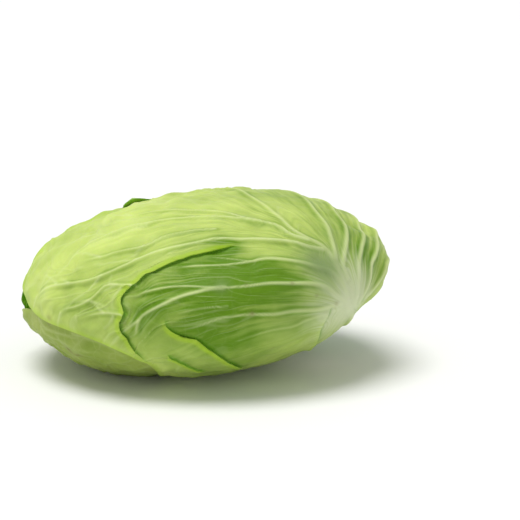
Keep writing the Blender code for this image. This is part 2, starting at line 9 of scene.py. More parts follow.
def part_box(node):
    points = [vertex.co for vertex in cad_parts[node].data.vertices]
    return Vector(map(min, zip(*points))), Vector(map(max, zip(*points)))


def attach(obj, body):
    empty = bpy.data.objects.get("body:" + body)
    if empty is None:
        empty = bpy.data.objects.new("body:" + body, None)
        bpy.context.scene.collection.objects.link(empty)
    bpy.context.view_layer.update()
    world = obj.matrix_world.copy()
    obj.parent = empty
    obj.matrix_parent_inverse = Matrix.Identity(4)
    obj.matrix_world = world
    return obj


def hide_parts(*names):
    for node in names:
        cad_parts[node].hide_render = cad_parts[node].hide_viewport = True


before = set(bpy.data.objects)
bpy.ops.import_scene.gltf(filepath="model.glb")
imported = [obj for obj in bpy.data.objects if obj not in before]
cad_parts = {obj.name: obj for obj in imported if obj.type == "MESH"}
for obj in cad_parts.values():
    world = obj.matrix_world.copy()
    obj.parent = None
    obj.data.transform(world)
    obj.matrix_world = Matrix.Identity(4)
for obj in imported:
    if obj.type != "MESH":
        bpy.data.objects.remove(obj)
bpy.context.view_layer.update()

# Flat cabbage, dressed: every leaf is a fine sheet laid over the head as its plain solid is.
# The shape functions work in millimetres, and the finished meshes are in metres.
METRES = 0.001

# Head: half axes of its oblate body, the lean of its long axis, and the flat it rests on.
HALF_AXES = np.array([113.6, 104.6, 53.6])
LEAN_DEG = 7.0
FLAT_DROP = 51.8

# The photographer's eye, and the body with its leaves on, on which the measured lines lie.
EYE_DISTANCE = 1226.0
EYE_RISE_DEG = 12.0
EYE_RIGHT = 36.2
EYE_UP = 13.5
EYE_LENS = 135.0
SEEN_AXES = np.array([115.0, 106.0, 54.9])

# Wrapping: every leaf is a thin shell over the next one down.
LEAF_THICK = 1.0
RIM_THICK = 0.6
RIM_TAPER = 9.0
LAYER_GAP = 0.4
HEAD_GAP = 0.5
DRAPE_START = 1.5
DRAPE_WIDTH = 11.0

# Cut stem, sunk in a dimple.
STEM_WAY = (0.62, -0.08, -0.78)
STEM_RADIUS = 15.0
STEM_FLARE = 0.8
STEM_BEVEL = 1.2
STEM_SIDES = 24
STEM_FACE_DEPTH = 1.5
DIMPLE_DEPTH = 6.0
DIMPLE_FLAT = 18.0
DIMPLE_RIM = 34.0
SOCKET_DEPTH = 6.4
SOCKET_RIM = 25.0
CLEARANCE = 0.35

# Free margins: the waves round a leaf, and how far from the edge and the stem they reach.
WAVES_ROUND = 9
WAVE_DRIFTS = 4
WAVE_DRIFT = 1.3
WAVE_REACH = 12.0
WAVE_FREE = 30.0
RIM_CALM = 6.0

# Folds: the lip hangs over the foot, inside a narrow band, with a bead along it and a dip below.
# A fold rises and dies over a share of its length, and the wall under its lip takes up a share of
# the band to each side; the rest is in mm.
FOLD_RISE = 0.12
FOLD_DIE = 0.2
WALL_HALF = 0.55
FOLD_BAND = 1.5
BEAD_TALL = 0.35
BEAD_BACK = 1.3
BEAD_WIDE = 1.2
DIP_DEEP = 0.15
DIP_WIDE = 3.0
FOOT_START = 0.4
FOOT_SHADE_WIDE = 1.3
LIP_GLEAM_BACK = 1.2
LIP_GLEAM_WIDE = 1.6

# The front leaf's stalk spreads in a smooth boss where its ribs meet.
BOSS_RISE = 1.4
BOSS_SPREAD = 12.0
BOSS_SMOOTH = 0.8


def unit(v):
    v = np.asarray(v, float)
    return v / np.linalg.norm(v, axis=-1, keepdims=True)


def body(ways):
    return ways * HALF_AXES


def outward(ways):
    return unit(ways / HALF_AXES)


def smoothstep(t):
    t = np.clip(t, 0.0, 1.0)
    return t * t * (3 - 2 * t)


STEM = unit(STEM_WAY)
SIGHT_UP = np.array((0.0, math.sin(math.radians(EYE_RISE_DEG)), math.cos(math.radians(EYE_RISE_DEG))))
SIGHT_AHEAD = np.array((0.0, SIGHT_UP[2], -SIGHT_UP[1]))
EYE = np.array((EYE_RIGHT, 0.0, 0.0)) + EYE_UP * SIGHT_UP - EYE_DISTANCE * SIGHT_AHEAD


def seen(x, z):
    """Way on the head that shows x right and z up of its middle, in mm, to the eye."""
    lean = math.radians(LEAN_DEG)
    ray = np.array((x, 0.0, 0.0)) + z * SIGHT_UP - EYE
    turn = np.array(((math.cos(lean), 0, math.sin(lean)), (0, 1, 0), (-math.sin(lean), 0, math.cos(lean))))
    start = turn @ EYE / SEEN_AXES
    ray = turn @ ray / SEEN_AXES
    qa = ray @ ray
    qb = 2 * start @ ray
    qc = start @ start - 1
    reach = (-qb - math.sqrt(max(qb * qb - 4 * qa * qc, 0.0))) / (2 * qa)
    return unit(start + reach * ray)


BASE = seen(92, -15)
TOWARD_BASE = unit(BASE - STEM * np.dot(BASE, STEM))
BESIDE_BASE = np.cross(STEM, TOWARD_BASE)


def sight(*pairs):
    """Ways through places that show from the front."""
    return [seen(x, z) for x, z in pairs]


def round_stem(far, turn):
    """Way at far degrees from the stem, turned about it from the front leaf's base."""
    t = math.radians(turn)
    side = TOWARD_BASE * math.cos(t) + BESIDE_BASE * math.sin(t)
    return STEM * math.cos(math.radians(far)) + side * math.sin(math.radians(far))


def hidden(*pairs):
    """Ways through places that the front doesn't show."""
    return [round_stem(far, turn) for far, turn in pairs]


def leaned(at):
    """Places of the upright head, turned to the lean that it lies with."""
    lean = math.radians(LEAN_DEG)
    x = at[:, 0] * math.cos(lean) - at[:, 2] * math.sin(lean)
    z = at[:, 0] * math.sin(lean) + at[:, 2] * math.cos(lean)
    return np.stack([x, at[:, 1], z], axis=1)


def over_stem(at):
    """How far each place lies outside the plane across the stem, in mm."""
    return (at - body(STEM)) @ outward(STEM)


def near_stem(at, flat, rim):
    """1 within flat mm of the stem's axis, falling to 0 at rim mm, on the stem's side only."""
    over = over_stem(at)
    aside = np.linalg.norm(at - body(STEM) - over[:, None] * outward(STEM), axis=1)
    share = 1 - smoothstep((aside - flat) / (rim - flat))
    return np.where(over < -HALF_AXES[2], 0.0, share)


def across_stem():
    """Two directions square to the stem and to each other."""
    side = unit(np.cross(outward(STEM), (0.0, 1.0, 0.0)))
    return side, np.cross(outward(STEM), side)


CURVE_PARTS = 12


def curve(ways, step, closed=False):
    """A smooth line over the head through the given ways, with a point about every step mm."""
    pts = np.array(ways)
    if closed:
        row = np.vstack([pts[-1:], pts, pts[:2]])
    else:
        row = np.vstack([2 * pts[0] - pts[1], pts, 2 * pts[-1] - pts[-2]])
    fine = []
    for p0, p1, p2, p3 in zip(row, row[1:], row[2:], row[3:]):
        for t in np.linspace(0, 1, CURVE_PARTS, endpoint=False):
            fine.append(0.5 * (2 * p1 + (p2 - p0) * t + (2 * p0 - 5 * p1 + 4 * p2 - p3) * t * t
                               + (3 * p1 - p0 - 3 * p2 + p3) * t ** 3))
    fine.append(pts[0] if closed else pts[-1])
    fine = unit(np.array(fine))
    run = np.linalg.norm(np.diff(body(fine), axis=0), axis=1)
    length = np.concatenate([[0], np.cumsum(run)])
    count = max(2, int(round(length[-1] / step)))
    marks = np.linspace(0, length[-1], count + 1)
    out = np.stack([np.interp(marks, length, fine[:, k]) for k in range(3)], axis=1)
    return unit(out[:-1] if closed else out)


def from_line(places, line):
    """Distance in mm from each place to a line of places, share along it, side, and way off it."""
    best = np.full(len(places), 1e9)
    along, side = np.zeros((2, len(places)))
    off_line = np.zeros_like(places)
    up = unit(places / HALF_AXES ** 2)
    count = len(line) - 1
    for i in range(count):
        a = line[i]
        ab = line[i + 1] - a
        t = np.clip((places - a) @ ab / max(ab @ ab, 1e-9), 0, 1)
        off = places - a - t[:, None] * ab
        gap = np.einsum("ij,ij->i", off, off)
        near = np.flatnonzero(gap < best)
        best[near] = gap[near]
        along[near] = (i + t[near]) / count
        off_line[near] = off[near]
        side[near] = np.sign(np.einsum("ij,ij->i", np.cross(up[near], ab), off[near]))
    return np.sqrt(best), along, side, off_line


# A slanting way that no leaf's map is centred on.
ASIDE = (0.31, 0.17, 0.93)


class Chart:
    """Flat map of the head round one way, seen from the opposite way, so that shapes stay true."""

    def __init__(self, centre):
        self.centre = unit(centre)
        self.across = unit(np.cross(self.centre, ASIDE))
        self.up = np.cross(self.centre, self.across)

    def flat(self, ways):
        back = np.maximum(1 + ways @ self.centre, 1e-6)
        return np.stack([ways @ self.across / back, ways @ self.up / back], axis=1)


def in_loop(points, loop):
    """Which of the flat points lie inside a closed loop."""
    inside = np.zeros(len(points), bool)
    x, y = points.T
    for (xi, yi), (xj, yj) in zip(loop, np.roll(loop, 1, axis=0)):
        if yi != yj:
            cross = (xj - xi) * (y - yi) / (yj - yi) + xi
            inside ^= ((yi > y) != (yj > y)) & (x < cross)
    return inside


# How far apart in mm the points of each kind of line are.
MARGIN_STEP = 5.8
RIB_STEP = 4.0
FOLD_STEP = 3.0
VEIN_STEP = 3.4
RIM_STEP = 1.0


class Leaf:
    """One outer leaf: its margin, its ribs, the folds across its blade, and how fine its sheet is."""

    def __init__(self, name, chart_way, middle, cells, margin, ribs, ruffle, folds=(), curls=(),
                 branches=(), tones=(), grey_shades=(), marks=(), rim_lights=()):
        self.name = name
        self.chart = Chart(chart_way)
        self.middle = unit(middle)
        self.cells = cells
        self.margin = curve(margin, MARGIN_STEP, closed=True)
        self.loop = self.chart.flat(self.margin)
        self.edge = body(np.vstack([self.margin, self.margin[:1]]))
        self.ribs = [(curve(ways, RIB_STEP), tall, wide, fan) for ways, tall, wide, fan in ribs]
        self.folds = [(curve(ways, FOLD_STEP), tall, reach, lip) for ways, tall, reach, lip in folds]
        self.ruffle = ruffle
        self.curls = curls
        self.branches = [curve(ways, VEIN_STEP) for ways in branches]
        self.patches = {"tone": tones, "grey_shade": grey_shades, "mark": marks, "rim": rim_lights}
        self.root = BASE if name == "front_leaf" else STEM

    def cover(self, ways):
        inside = in_loop(self.chart.flat(ways), self.loop)
        gap = from_line(body(ways), self.edge)[0]
        return np.where(inside, 1.0, 1.0 - smoothstep((gap - DRAPE_START) / DRAPE_WIDTH))


# The front leaf's ribs, midrib first, each from the stalk outwards, with its height and half width
# at both ends, and its number in the fan of ribs.
FRONT_RIBS = [
    (hidden((14, -10), (28, -4)) + sight((92, -15), (89, 1), (84, 12), (76, 22), (67, 27), (58, 32),
     (51, 38), (40, 47), (29, 54), (19, 58)) + hidden((136, -80), (138, -100)),
     (2.9, 0.8), (7.0, 4.0), 0.0),
    (sight((36, 38.5), (24, 41), (13, 44), (-5, 45), (-24, 45), (-37, 43), (-48, 41)),
     (1.4, 1.0), (4.6, 4.0), 1.0),
    (sight((67, 26), (56, 30), (46, 36), (31, 39), (8, 41), (-10, 40), (-28, 38), (-42, 35), (-55, 31),
     (-68, 25), (-82, 17)), (1.7, 1.2), (4.6, 4.2), 1.7),
    (sight((76, 20), (67, 22), (58, 25), (40, 27), (22, 27), (8, 26), (-5, 23), (-19, 20), (-30, 17),
     (-42, 12), (-51, 8), (-60, 4), (-73, 0), (-93, -3), (-98, -5), (-107, -11)),
     (2.1, 1.5), (5.0, 4.4), 3.2),
    (sight((89, -2), (82, 6), (74, 9), (65, 12), (54, 14), (40, 15), (30, 13), (13, 11), (-5, 10),
     (-20, 9)), (1.9, 0.6), (4.6, 3.6), 4.4),
    (sight((91, -12), (85, -9), (80, -4), (74, -2), (67, -1), (57, -1), (42, -1), (27, -3), (9, -4),
     (-10, -3), (-24, -4), (-37, -7), (-47, -11)), (1.9, 0.7), (4.6, 3.6), 5.4),
    (sight((14, -4), (4, -5), (-4, -7), (-15, -10), (-28, -16), (-37, -21), (-41, -26), (-42, -32),
     (-45, -39)), (1.5, 0.9), (5.4, 5.0), 6.0),
    (sight((88, -14), (82, -16), (74, -18), (58, -19), (45, -21), (30, -21), (13, -23), (4, -26),
     (-5, -29), (-19, -32)), (1.3, 0.7), (4.4, 3.6), 6.8),
    (sight((88, -17), (80, -20), (72, -23), (64, -26), (58, -29), (45, -31), (31, -35), (20, -39),
     (12, -43)), (0.7, 0.5), (4.0, 3.4), 7.7),
    (sight((84, 14), (81, 28), (79, 34), (73, 42), (68, 48), (60, 54))
     + hidden((112, -80), (118, -92), (124, -103)),
     (2.6, 1.2), (5.4, 4.2), -1.0),
    (sight((92, 2), (89, 10), (90, 19), (91, 30), (88, 39), (83, 45), (76, 50))
     + hidden((98, -76), (101, -90), (104, -103)),
     (2.8, 1.4), (5.4, 4.2), -2.0),
    (sight((98, -9), (99, 1), (99, 12), (100, 20), (101.5, 27), (101.5, 32))
     + hidden((82, -61), (86, -72), (88, -86), (88, -99)),
     (2.6, 1.4), (5.2, 4.2), -3.0),
    (sight((100, -12), (104, -5), (106, 2), (106, 10), (108, 16), (109, 22))
     + hidden((70, -58), (74, -63), (76, -74), (76, -86), (74, -95)), (2.4, 1.4), (5.0, 4.2), -4.0),
    (sight((104, -10), (109, -3), (112, 5), (113, 11))
     + hidden((54, -52), (59, -58), (62, -68), (62, -80), (60, -88)), (2.2, 1.2), (5.0, 4.0), -5.0),
    (hidden((31, -32), (37, -46), (43, -60), (46, -74)), (1.6, 1.0), (4.6, 4.0), -6.0),
    (sight((-42, -3), (-51, -3), (-60, -3), (-64, -6), (-71, -12), (-80, -16), (-88, -18), (-92, -23)),
     (1.1, 0.9), (3.6, 3.6), 3.9),
    (sight((-51, -21), (-60, -20), (-69, -21), (-78, -24)), (1.0, 0.8), (3.6, 3.6), 4.6),
    (sight((8, 33), (-10, 31), (-24, 28), (-36, 22), (-55, 18), (-64, 15), (-78, 13)),
     (1.3, 1.0), (4.2, 4.0), 2.4),
    (sight((30, 13.5), (18, 15), (8, 16), (-2, 17.5)), (0.8, 0.6), (3.6, 3.4), 4.1),
    (sight((16, -16), (4, -16.5), (-8, -18.5), (-16, -20.5), (-23, -22)), (0.8, 0.7), (3.6, 3.4), 6.3),
    # Three lines without height, which only lead the streaks on.
    (sight((-19, -32), (-28, -36), (-37, -42)), (0.0, 0.0), (4.0, 4.0), 6.8),
    (sight((12, -43), (0, -48), (-12, -52), (-24, -54)), (0.0, 0.0), (4.0, 4.0), 7.7),
    (sight((76, -30), (60, -38), (40, -46), (20, -52), (0, -56)), (0.0, 0.0), (4.0, 4.0), 9.0),
]

# Its finer branches that stand out.
FRONT_BRANCHES = [
    sight((-56, -22), (-58, -26), (-61, -29)),
    sight((-92, -2), (-95, 1), (-99, 4), (-97, 7)),
    sight((-55, -3), (-59, -2), (-57, 3)),
    sight((-51, -5), (-55, -9), (-57, -14), (-56, -19)),
    sight((-70, -13), (-62, -16), (-58, -20)),
    sight((-80, -22), (-80, -27)),
]

# The folds across its blade, with their height, reach and lip: two great ones, the groove beside
# its stalk, and a crease low down.
FRONT_FOLDS = [
    (sight((26, 24), (12, 21), (0, 18), (-16, 13), (-32, 6), (-42, -2), (-48.5, -6.5), (-51.5, -11.5),
     (-51, -16), (-49.3, -19.8), (-50.8, -23), (-52.5, -26.5), (-51.5, -31), (-49.4, -35), (-45.6, -40.6),
     (-41, -46), (-37, -50), (-34, -53)), 1.5, 24.0, 1.2),
    (sight((-24, -23), (-23, -29), (-16, -34), (-9, -36), (-4, -37), (3, -42), (10, -47), (18, -52),
     (23, -54)) + hidden((38, 74)), 1.4, 18.0, 1.2),
    (sight((82, -16), (80.5, -20), (78, -25), (75, -31), (72.5, -38)) + hidden((17, 58)), 1.2, 7.0, 0.0),
    (sight((-23, -46), (-19, -48.5), (-13, -52), (-5, -55.5), (3, -57.5)), 0.7, 6.0, 0.4),
]

FRONT_MARGIN = (
    hidden((12, 8), (11.5, -12), (12, -32), (22, -40), (34, -60), (48, -80), (64, -94), (84, -103),
           (106, -108), (128, -113), (141, -130), (147, -155), (148, 172), (144, 148))
    + sight((-113, -8.5), (-111.5, -14), (-108, -19.5), (-101, -25), (-89, -30), (-75, -35), (-61, -40),
            (-48, -46), (-39, -51.5), (-30, -55.5))
    + hidden((56, 104), (51, 115), (44, 122), (34, 122), (25, 114), (20, 98), (17, 76), (14.5, 56),
             (13, 40), (12.3, 24))
)

BACK_MARGIN = hidden(
    (12, -112), (24, -95), (38, -86), (56, -84), (76, -86), (98, -89), (120, -92), (138, -96),
    (149, -93), (156, -83), (161, -90), (157, -115), (151, -140), (145, -168), (134, 168), (118, 160),
    (98, 160), (76, 164), (56, 172), (36, -178), (22, -170), (12, -160))
BELLY_MARGIN = hidden(
    (12, 122), (22, 112), (36, 94), (50, 78), (64, 66), (80, 58), (96, 58), (109, 68), (119, 82),
    (127, 100), (127, 114), (120, 130), (116, 152), (106, 168), (90, 177), (74, -178), (54, -176),
    (36, 178), (22, 172), (12, 164))
UNDER_MARGIN = hidden(
    (12, 126), (26, 112), (48, 100), (74, 88), (98, 80), (120, 78), (138, 86), (152, 104), (160, 145),
    (156, 180), (145, 178), (132, 170), (112, 160), (88, 154), (62, 152), (36, 156), (22, 158), (12, 156))


def spots(*rows):
    """Soft round patches, each from where it shows, its spread in mm and its amount."""
    return [(seen(x, z), spread, amount) for x, z, spread, amount in rows]


# Where the front leaf is deeper green, or paler.
FRONT_TONES = spots(
    (24, 7, 8.0, 0.45), (42, 7, 9.0, 0.6), (57, 5, 8.0, 0.4), (14, -8, 9.0, 0.3), (35, -8, 9.0, 0.4),
    (52, -9, 8.0, 0.3), (10, 21, 5.0, 0.6), (20, 23, 4.5, 0.6), (-10, 0, 24.0, 0.42),
    (90, 36, 16.0, 0.3), (104, 15, 14.0, 0.6), (10, -30, 28.0, 0.42), (64, -21, 16.0, 0.35),
    (-38, -22, 10.0, 0.2), (-85, 22, 42.0, -0.3), (-20, 44, 34.0, -0.25),
)
# Deeper green just behind its outline, which shows at a grazing angle as a green rim: painted rim light.
FRONT_TONES += [(round_stem(150, 168), 20.0, 0.4), (round_stem(148, -152), 20.0, 0.3)]

# Painted rim light: along its upper left outline the front leaf turns a bright yellow green.
FAR_RIM_LIGHT = sight((-114, -6), (-113, 3), (-108, 12), (-102, 19), (-94, 25), (-85, 31), (-75, 36), (-64, 41))
FRONT_RIM_LIGHTS = [(way, 7.0, 0.42) for way in FAR_RIM_LIGHT]

# Where grey-green patches lie on the front leaf: painted shade in the valley where its ribs meet near the
# stalk, and a grey tint elsewhere.
FRONT_GREY_SHADES = spots((79, 8, 9.0, 0.8), (68, 16, 8.0, 0.4), (84, 28, 9.0, 0.25), (60, -24, 12.0, 0.2),
                     (11.6, -3, 3.5, 0.4))

# Small brown marks, each about as wide as its spread.
FRONT_MARKS = spots((57, -1, 0.8, 0.6), (31.5, -20.5, 1.0, 0.8), (73, -9, 0.8, 0.5),
                    (44.5, -42.5, 0.7, 0.6), (28, -2, 0.7, 0.5), (85, -14, 1.1, 0.4),
                    (-97.5, -23, 1.4, 0.5))

# The back leaf's tip that shows above the top is brighter.
BACK_TONES = [(round_stem(158.5, -87), 9.0, -0.6)]

# The strip of the belly leaf that shows from the front.
BELLY_BRANCHES = [
    sight((-106, -24), (-101, -30), (-87, -35), (-70, -39), (-56, -45)),
    sight((-104, -29), (-97, -35), (-82, -41), (-66, -46)),
    sight((-84, -34), (-72, -38), (-60, -43), (-48, -50)),
]
BELLY_TONES = spots((-60, -46, 14.0, 0.25), (-108, -24, 7.0, -0.5), (-88, -34, 9.0, 0.2))
BELLY_MARKS = spots((-85, -44, 2.2, 0.7), (-79, -46.5, 1.8, 0.7), (-99, -27, 2.0, 0.4))

# A plain leaf's midrib: the degrees from the stem to its first point and between two, and its height
# and half width in mm at the tip.
MIDRIB_START = 14
MIDRIB_STEP = 12
MIDRIB_TIP_TALL = 0.7
MIDRIB_TIP_WIDE = 3.8

# A plain leaf's side ribs: height and half width in mm at both ends, how many points they have, how
# far apart in degrees, how fast they bend, how far they stay from the tip, how far each of a pair is
# shifted, one outwards and the other back, and how much less the next pair spreads.
SIDE_RIB_TALL = (1.5, 0.6)
SIDE_RIB_WIDE = (4.4, 3.5)
SIDE_POINTS = 7
SIDE_STEP = 8.5
SIDE_BEND = 3.0
SIDE_TIP = 6.0
SIDE_SHIFT = 4.0
SIDE_NARROWS = 0.07


def side_rib(start, turn, hand, reach, tip):
    """A rib that leaves the midrib at start degrees from the stem and bends along the leaf."""
    line = []
    for step in range(SIDE_POINTS):
        out = start + step * SIDE_STEP + SIDE_SHIFT * hand
        if out < tip - SIDE_TIP:
            line.append((out, turn + hand * reach * (1 - math.exp(-step / SIDE_BEND))))
    return line


def feathered(turn, tip, spread, starts, tall, wide):
    """A plain leaf's ribs: a midrib away from the stem and paired side ribs that bend along it."""
    midrib = [(far, turn) for far in range(MIDRIB_START, tip, MIDRIB_STEP)] + [(tip, turn)]
    ribs = [(hidden(*midrib), (tall, MIDRIB_TIP_TALL), (wide, MIDRIB_TIP_WIDE), 0.0)]
    for k, start in enumerate(starts):
        for hand, reach in zip((-1, 1), spread):
            line = side_rib(start, turn, hand, reach * (1.0 - SIDE_NARROWS * k), tip)
            if len(line) > 2:
                ribs.append((hidden(*line), SIDE_RIB_TALL, SIDE_RIB_WIDE, hand * (len(starts) - k)))
    return ribs


def back_leaf():
    """The topmost leaf, behind, wrapped up to the crown."""
    ribs = feathered(-138, 146, (52, 56), (20, 38, 57, 78, 100), 2.6, 6.5)
    return Leaf("back_leaf", round_stem(88, -140), (0.014, 0.995, -0.099), 210, BACK_MARGIN, ribs,
                (0.4, 1.5), curls=[(round_stem(158.5, -87), 5.5, 3.6)], tones=BACK_TONES)


def front_leaf():
    """The great leaf over the front and top, folded across its blade."""
    return Leaf("front_leaf", (-0.05, -0.62, 0.78), (0.174, -0.771, 0.612), 240, FRONT_MARGIN, FRONT_RIBS,
                (-0.25, 0.35), folds=FRONT_FOLDS, curls=[(round_stem(56, 104), 9.0, -0.5)],
                branches=FRONT_BRANCHES, tones=FRONT_TONES, grey_shades=FRONT_GREY_SHADES, marks=FRONT_MARKS,
                rim_lights=FRONT_RIM_LIGHTS)


def belly_leaf():
    """The leaf that the cabbage lies on, showing as a strip along the bottom of the front."""
    ribs = feathered(140, 120, (52, 46), (22, 42, 64, 86), 2.0, 5.5)
    return Leaf("belly_leaf", round_stem(68, 138), (-0.499, 0.181, -0.848), 180, BELLY_MARGIN, ribs,
                (0.1, 0.5), branches=BELLY_BRANCHES, tones=BELLY_TONES, marks=BELLY_MARKS)


def under_leaf():
    """The leaf below the others, showing at the left tip, dark with painted shade."""
    ribs = feathered(134, 156, (34, 34), (70, 100, 124), 1.4, 4.5)
    return Leaf("under_leaf", round_stem(92, 132), (-0.777, -0.047, -0.628), 130, UNDER_MARGIN, ribs,
                (0.2, 0.6))


# The outer leaves, topmost first.
LEAVES = [back_leaf(), front_leaf(), belly_leaf(), under_leaf()]

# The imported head: edges of its outer layer, how high and wide they are in mm, and its fine relief.
HEAD_EDGES = [
    hidden((24, -40), (40, -96), (70, -118), (100, -110)),
    hidden((20, 60), (34, 92), (60, 150), (96, 172)),
    hidden((26, -150), (60, -176), (100, 168), (140, 140)),
]
HEAD_EDGE_RISE = 1.2
HEAD_EDGE_REACH = 18.0
HEAD_PUCKER = 0.3
HEAD_PUCKER_SIZE = 14.0
HEAD_PUCKER_SEED = 21.4
HEAD_STREAKS = 4
NO_MARGIN = 50.0

# Broad swells and hollows of the whole head, with their height in mm.
SWELLS = spots(
    (40, 58, 30.0, 1.4), (97, 37, 9.0, -3.4), (109, 28, 8.0, 3.2), (114, 8, 12.0, 4.2),
    (78, -37, 13.0, 1.2), (-104, 17, 20.0, 2.4), (-84, 34, 22.0, 1.4), (60, -2, 26.0, -0.8),
    (20, 20, 16.0, -0.8), (-60, 34, 34.0, 0.6),
)
SWELLS += [
    (round_stem(22, -12), 14.0, -2.2),
    (round_stem(24, -38), 14.0, -1.9),
    (round_stem(28, -66), 14.0, -0.7),
    (round_stem(102, 112), 17.0, -2.0),
]


def depth_over(ways, order):
    """How deep the leaves laid over the one of this order push it down."""
    deep = np.zeros(len(ways))
    for leaf in LEAVES[:order]:
        deep += (LEAF_THICK + LAYER_GAP) * leaf.cover(ways)
    return deep


def bare(ways, order):
    """1 where no leaf lies over the one of this order, 0 where one does."""
    free = np.ones(len(ways))
    for leaf in LEAVES[:order]:
        free *= 1 - leaf.cover(ways)
    return free


def spread_over(at, patches):
    """Sum of soft round patches, each given as way, spread in mm and amount."""
    total = np.zeros(len(at))
    for way, spread, amount in patches:
        total += amount * np.exp(-np.sum((at - body(way)) ** 2, axis=1) / (2 * spread ** 2))
    return total


def place(ways, height, deep, slide=0.0):
    """Place in mm, in the leaning head, at a height above the plain body and under deep mm of leaf."""
    at = body(ways)
    up = outward(ways)
    swell = spread_over(at, SWELLS)
    # The stem's dimple flattens the body square to the stem.
    sink = near_stem(at, DIMPLE_FLAT, DIMPLE_RIM)[:, None]
    drop = (-DIMPLE_DEPTH - over_stem(at))[:, None]
    at = at + swell[:, None] * (1 - sink) * up + sink * drop * outward(STEM)
    up = unit(up * (1 - sink) + sink * outward(STEM))
    at = leaned(at + height[:, None] * up + slide)
    at[:, 2] = np.maximum(at[:, 2], deep - FLAT_DROP) + FLAT_DROP
    return at


def margin_lift(leaf, ways, order, gap, along):
    """The free margin stands off the head in slow waves."""
    calm, lively = leaf.ruffle
    once_round = along * 2 * math.pi
    wave = 0.5 + 0.5 * np.sin(once_round * WAVES_ROUND + WAVE_DRIFT * np.sin(once_round * WAVE_DRIFTS))
    near_edge = np.clip(1 - gap / WAVE_REACH, 0, 1) ** 2
    far = np.linalg.norm(body(ways) - body(STEM), axis=1)
    off_stem = smoothstep((far - WAVE_FREE) / WAVE_FREE)
    curl = spread_over(body(ways), leaf.curls)
    return ((calm + lively * wave) * near_edge * off_stem + curl) * bare(ways, order)


# Meshes are worked on here as arrays of places.

def triples_of(items, name):
    """A property of three numbers of every vertex or face, as an array."""
    flat = np.empty(len(items) * 3, np.float32)
    items.foreach_get(name, flat)
    return flat.reshape(-1, 3).astype(float)


def places_of(piece):
    return triples_of(piece.data.vertices, "co")


def face_middles(piece):
    return triples_of(piece.data.polygons, "center")


def move_to(piece, places):
    piece.data.vertices.foreach_set("co", places.astype(np.float32).ravel())
    piece.data.update()


def start_clear():
    """Leaves nothing selected, because the frame's own nodes are selected after loading."""
    if bpy.context.object and bpy.context.object.mode != "OBJECT":
        bpy.ops.object.mode_set(mode="OBJECT")
    bpy.ops.object.select_all(action="DESELECT")


def pick_faces(piece, chosen):
    """Opens a piece for editing with only the chosen faces selected."""
    for items in (piece.data.vertices, piece.data.edges):
        items.foreach_set("select", np.zeros(len(items), bool))
    piece.data.polygons.foreach_set("select", chosen)
    bpy.ops.object.mode_set(mode="EDIT")
    bpy.ops.mesh.select_mode(type="FACE")


def rim_share(square):
    """How far round the square's rim each place's ring stands, from 0 to 1, and its ring."""
    ring = np.abs(square).max(axis=1)
    u, v = (square / np.maximum(ring, 1e-9)[:, None]).T
    almost = 1 - 1e-6
    quarter = np.select([u >= almost, v >= almost, u <= -almost],
                        [(v + 1) / 2, 1 + (1 - u) / 2, 2 + (1 - v) / 2], 3 + (u + 1) / 2)
    return (quarter / 4) % 1.0, ring


# A sheet's rings are measured at this many stops, and its rows are evened out this many times.
RING_STOPS = 24
EVENING_PASSES = 40


def spread_rings(square, leaf):
    """Ways over a leaf for places of a flat square, its rings evenly spaced from middle to margin."""
    share, ring = rim_share(square)
    rim = curve(leaf.margin, RIM_STEP, closed=True)
    rim = np.vstack([rim, rim[:1]])
    marks = np.linspace(0, 1, len(rim))
    out = unit(np.stack([np.interp(share, marks, rim[:, k]) for k in range(3)], axis=1))
    angle = np.arccos(np.clip(out @ leaf.middle, -1, 1))[:, None]

    def part_way(f):
        return (np.sin((1 - f) * angle) * leaf.middle + np.sin(f * angle) * out) / np.sin(angle)

    before = np.broadcast_to(leaf.middle, out.shape)
    run = np.zeros((len(out), RING_STOPS + 1))
    for k in range(1, RING_STOPS + 1):
        now = part_way(np.full_like(angle, k / RING_STOPS))
        run[:, k] = run[:, k - 1] + np.linalg.norm(body(now) - body(before), axis=1)
        before = now
    want = ring * run[:, -1]
    k = np.clip((run < want[:, None]).sum(axis=1), 1, RING_STOPS)
    row = np.arange(len(run))
    f = (k - 1 + (want - run[row, k - 1]) / (run[row, k] - run[row, k - 1])) / RING_STOPS
    return unit(part_way(f[:, None]))


def relaxed(ways, passes):
    """Evens out a square sheet's rows, its rim kept."""
    side = int(round(math.sqrt(len(ways))))
    at = body(ways).reshape(side, side, 3)
    for _ in range(passes):
        middle = (at[:-2, 1:-1] + at[2:, 1:-1] + at[1:-1, :-2] + at[1:-1, 2:]) / 4
        at[1:-1, 1:-1] = body(unit(middle / HALF_AXES))
    return unit(at.reshape(-1, 3) / HALF_AXES)


def new_sheet(name, leaf, cells):
    """A square sheet spread over a leaf, on the unit ball."""
    start_clear()
    bpy.ops.mesh.primitive_grid_add(x_subdivisions=cells, y_subdivisions=cells, size=2.0)
    sheet = bpy.context.object
    sheet.name = name
    sheet.data.name = name
    ways = spread_rings(places_of(sheet)[:, :2], leaf)
    move_to(sheet, relaxed(ways, EVENING_PASSES))
    return sheet


def refine_folds(sheet, leaf, band):
    """Splits the faces that lie within band mm of a fold."""
    at = body(unit(face_middles(sheet)))
    near = np.zeros(len(at), bool)
    for line, _, _, _ in leaf.folds:
        near |= from_line(at, body(line))[0] < band
    pick_faces(sheet, near)
    bpy.ops.mesh.subdivide(number_cuts=1)
    bpy.ops.object.mode_set(mode="OBJECT")


def keep_field(piece, name, values):
    """Stores a value at each point of a piece, for its skin to read."""
    field = piece.data.attributes.new(name, "FLOAT", "POINT")
    field.data.foreach_set("value", values.astype(np.float32))


def grain(at, size, seed):
    """Soft noise from -1 to 1 over places in mm, with bumps of about the given size."""
    shifted = at / size + seed
    return np.array([noise.noise(Vector(p)) for p in shifted])


def flow_grain(run, fan, seed, long, wide):
    """Noise drawn out along the ribs."""
    return np.array([noise.noise(Vector((r / long, f / wide, seed))) for r, f in zip(run, fan)])
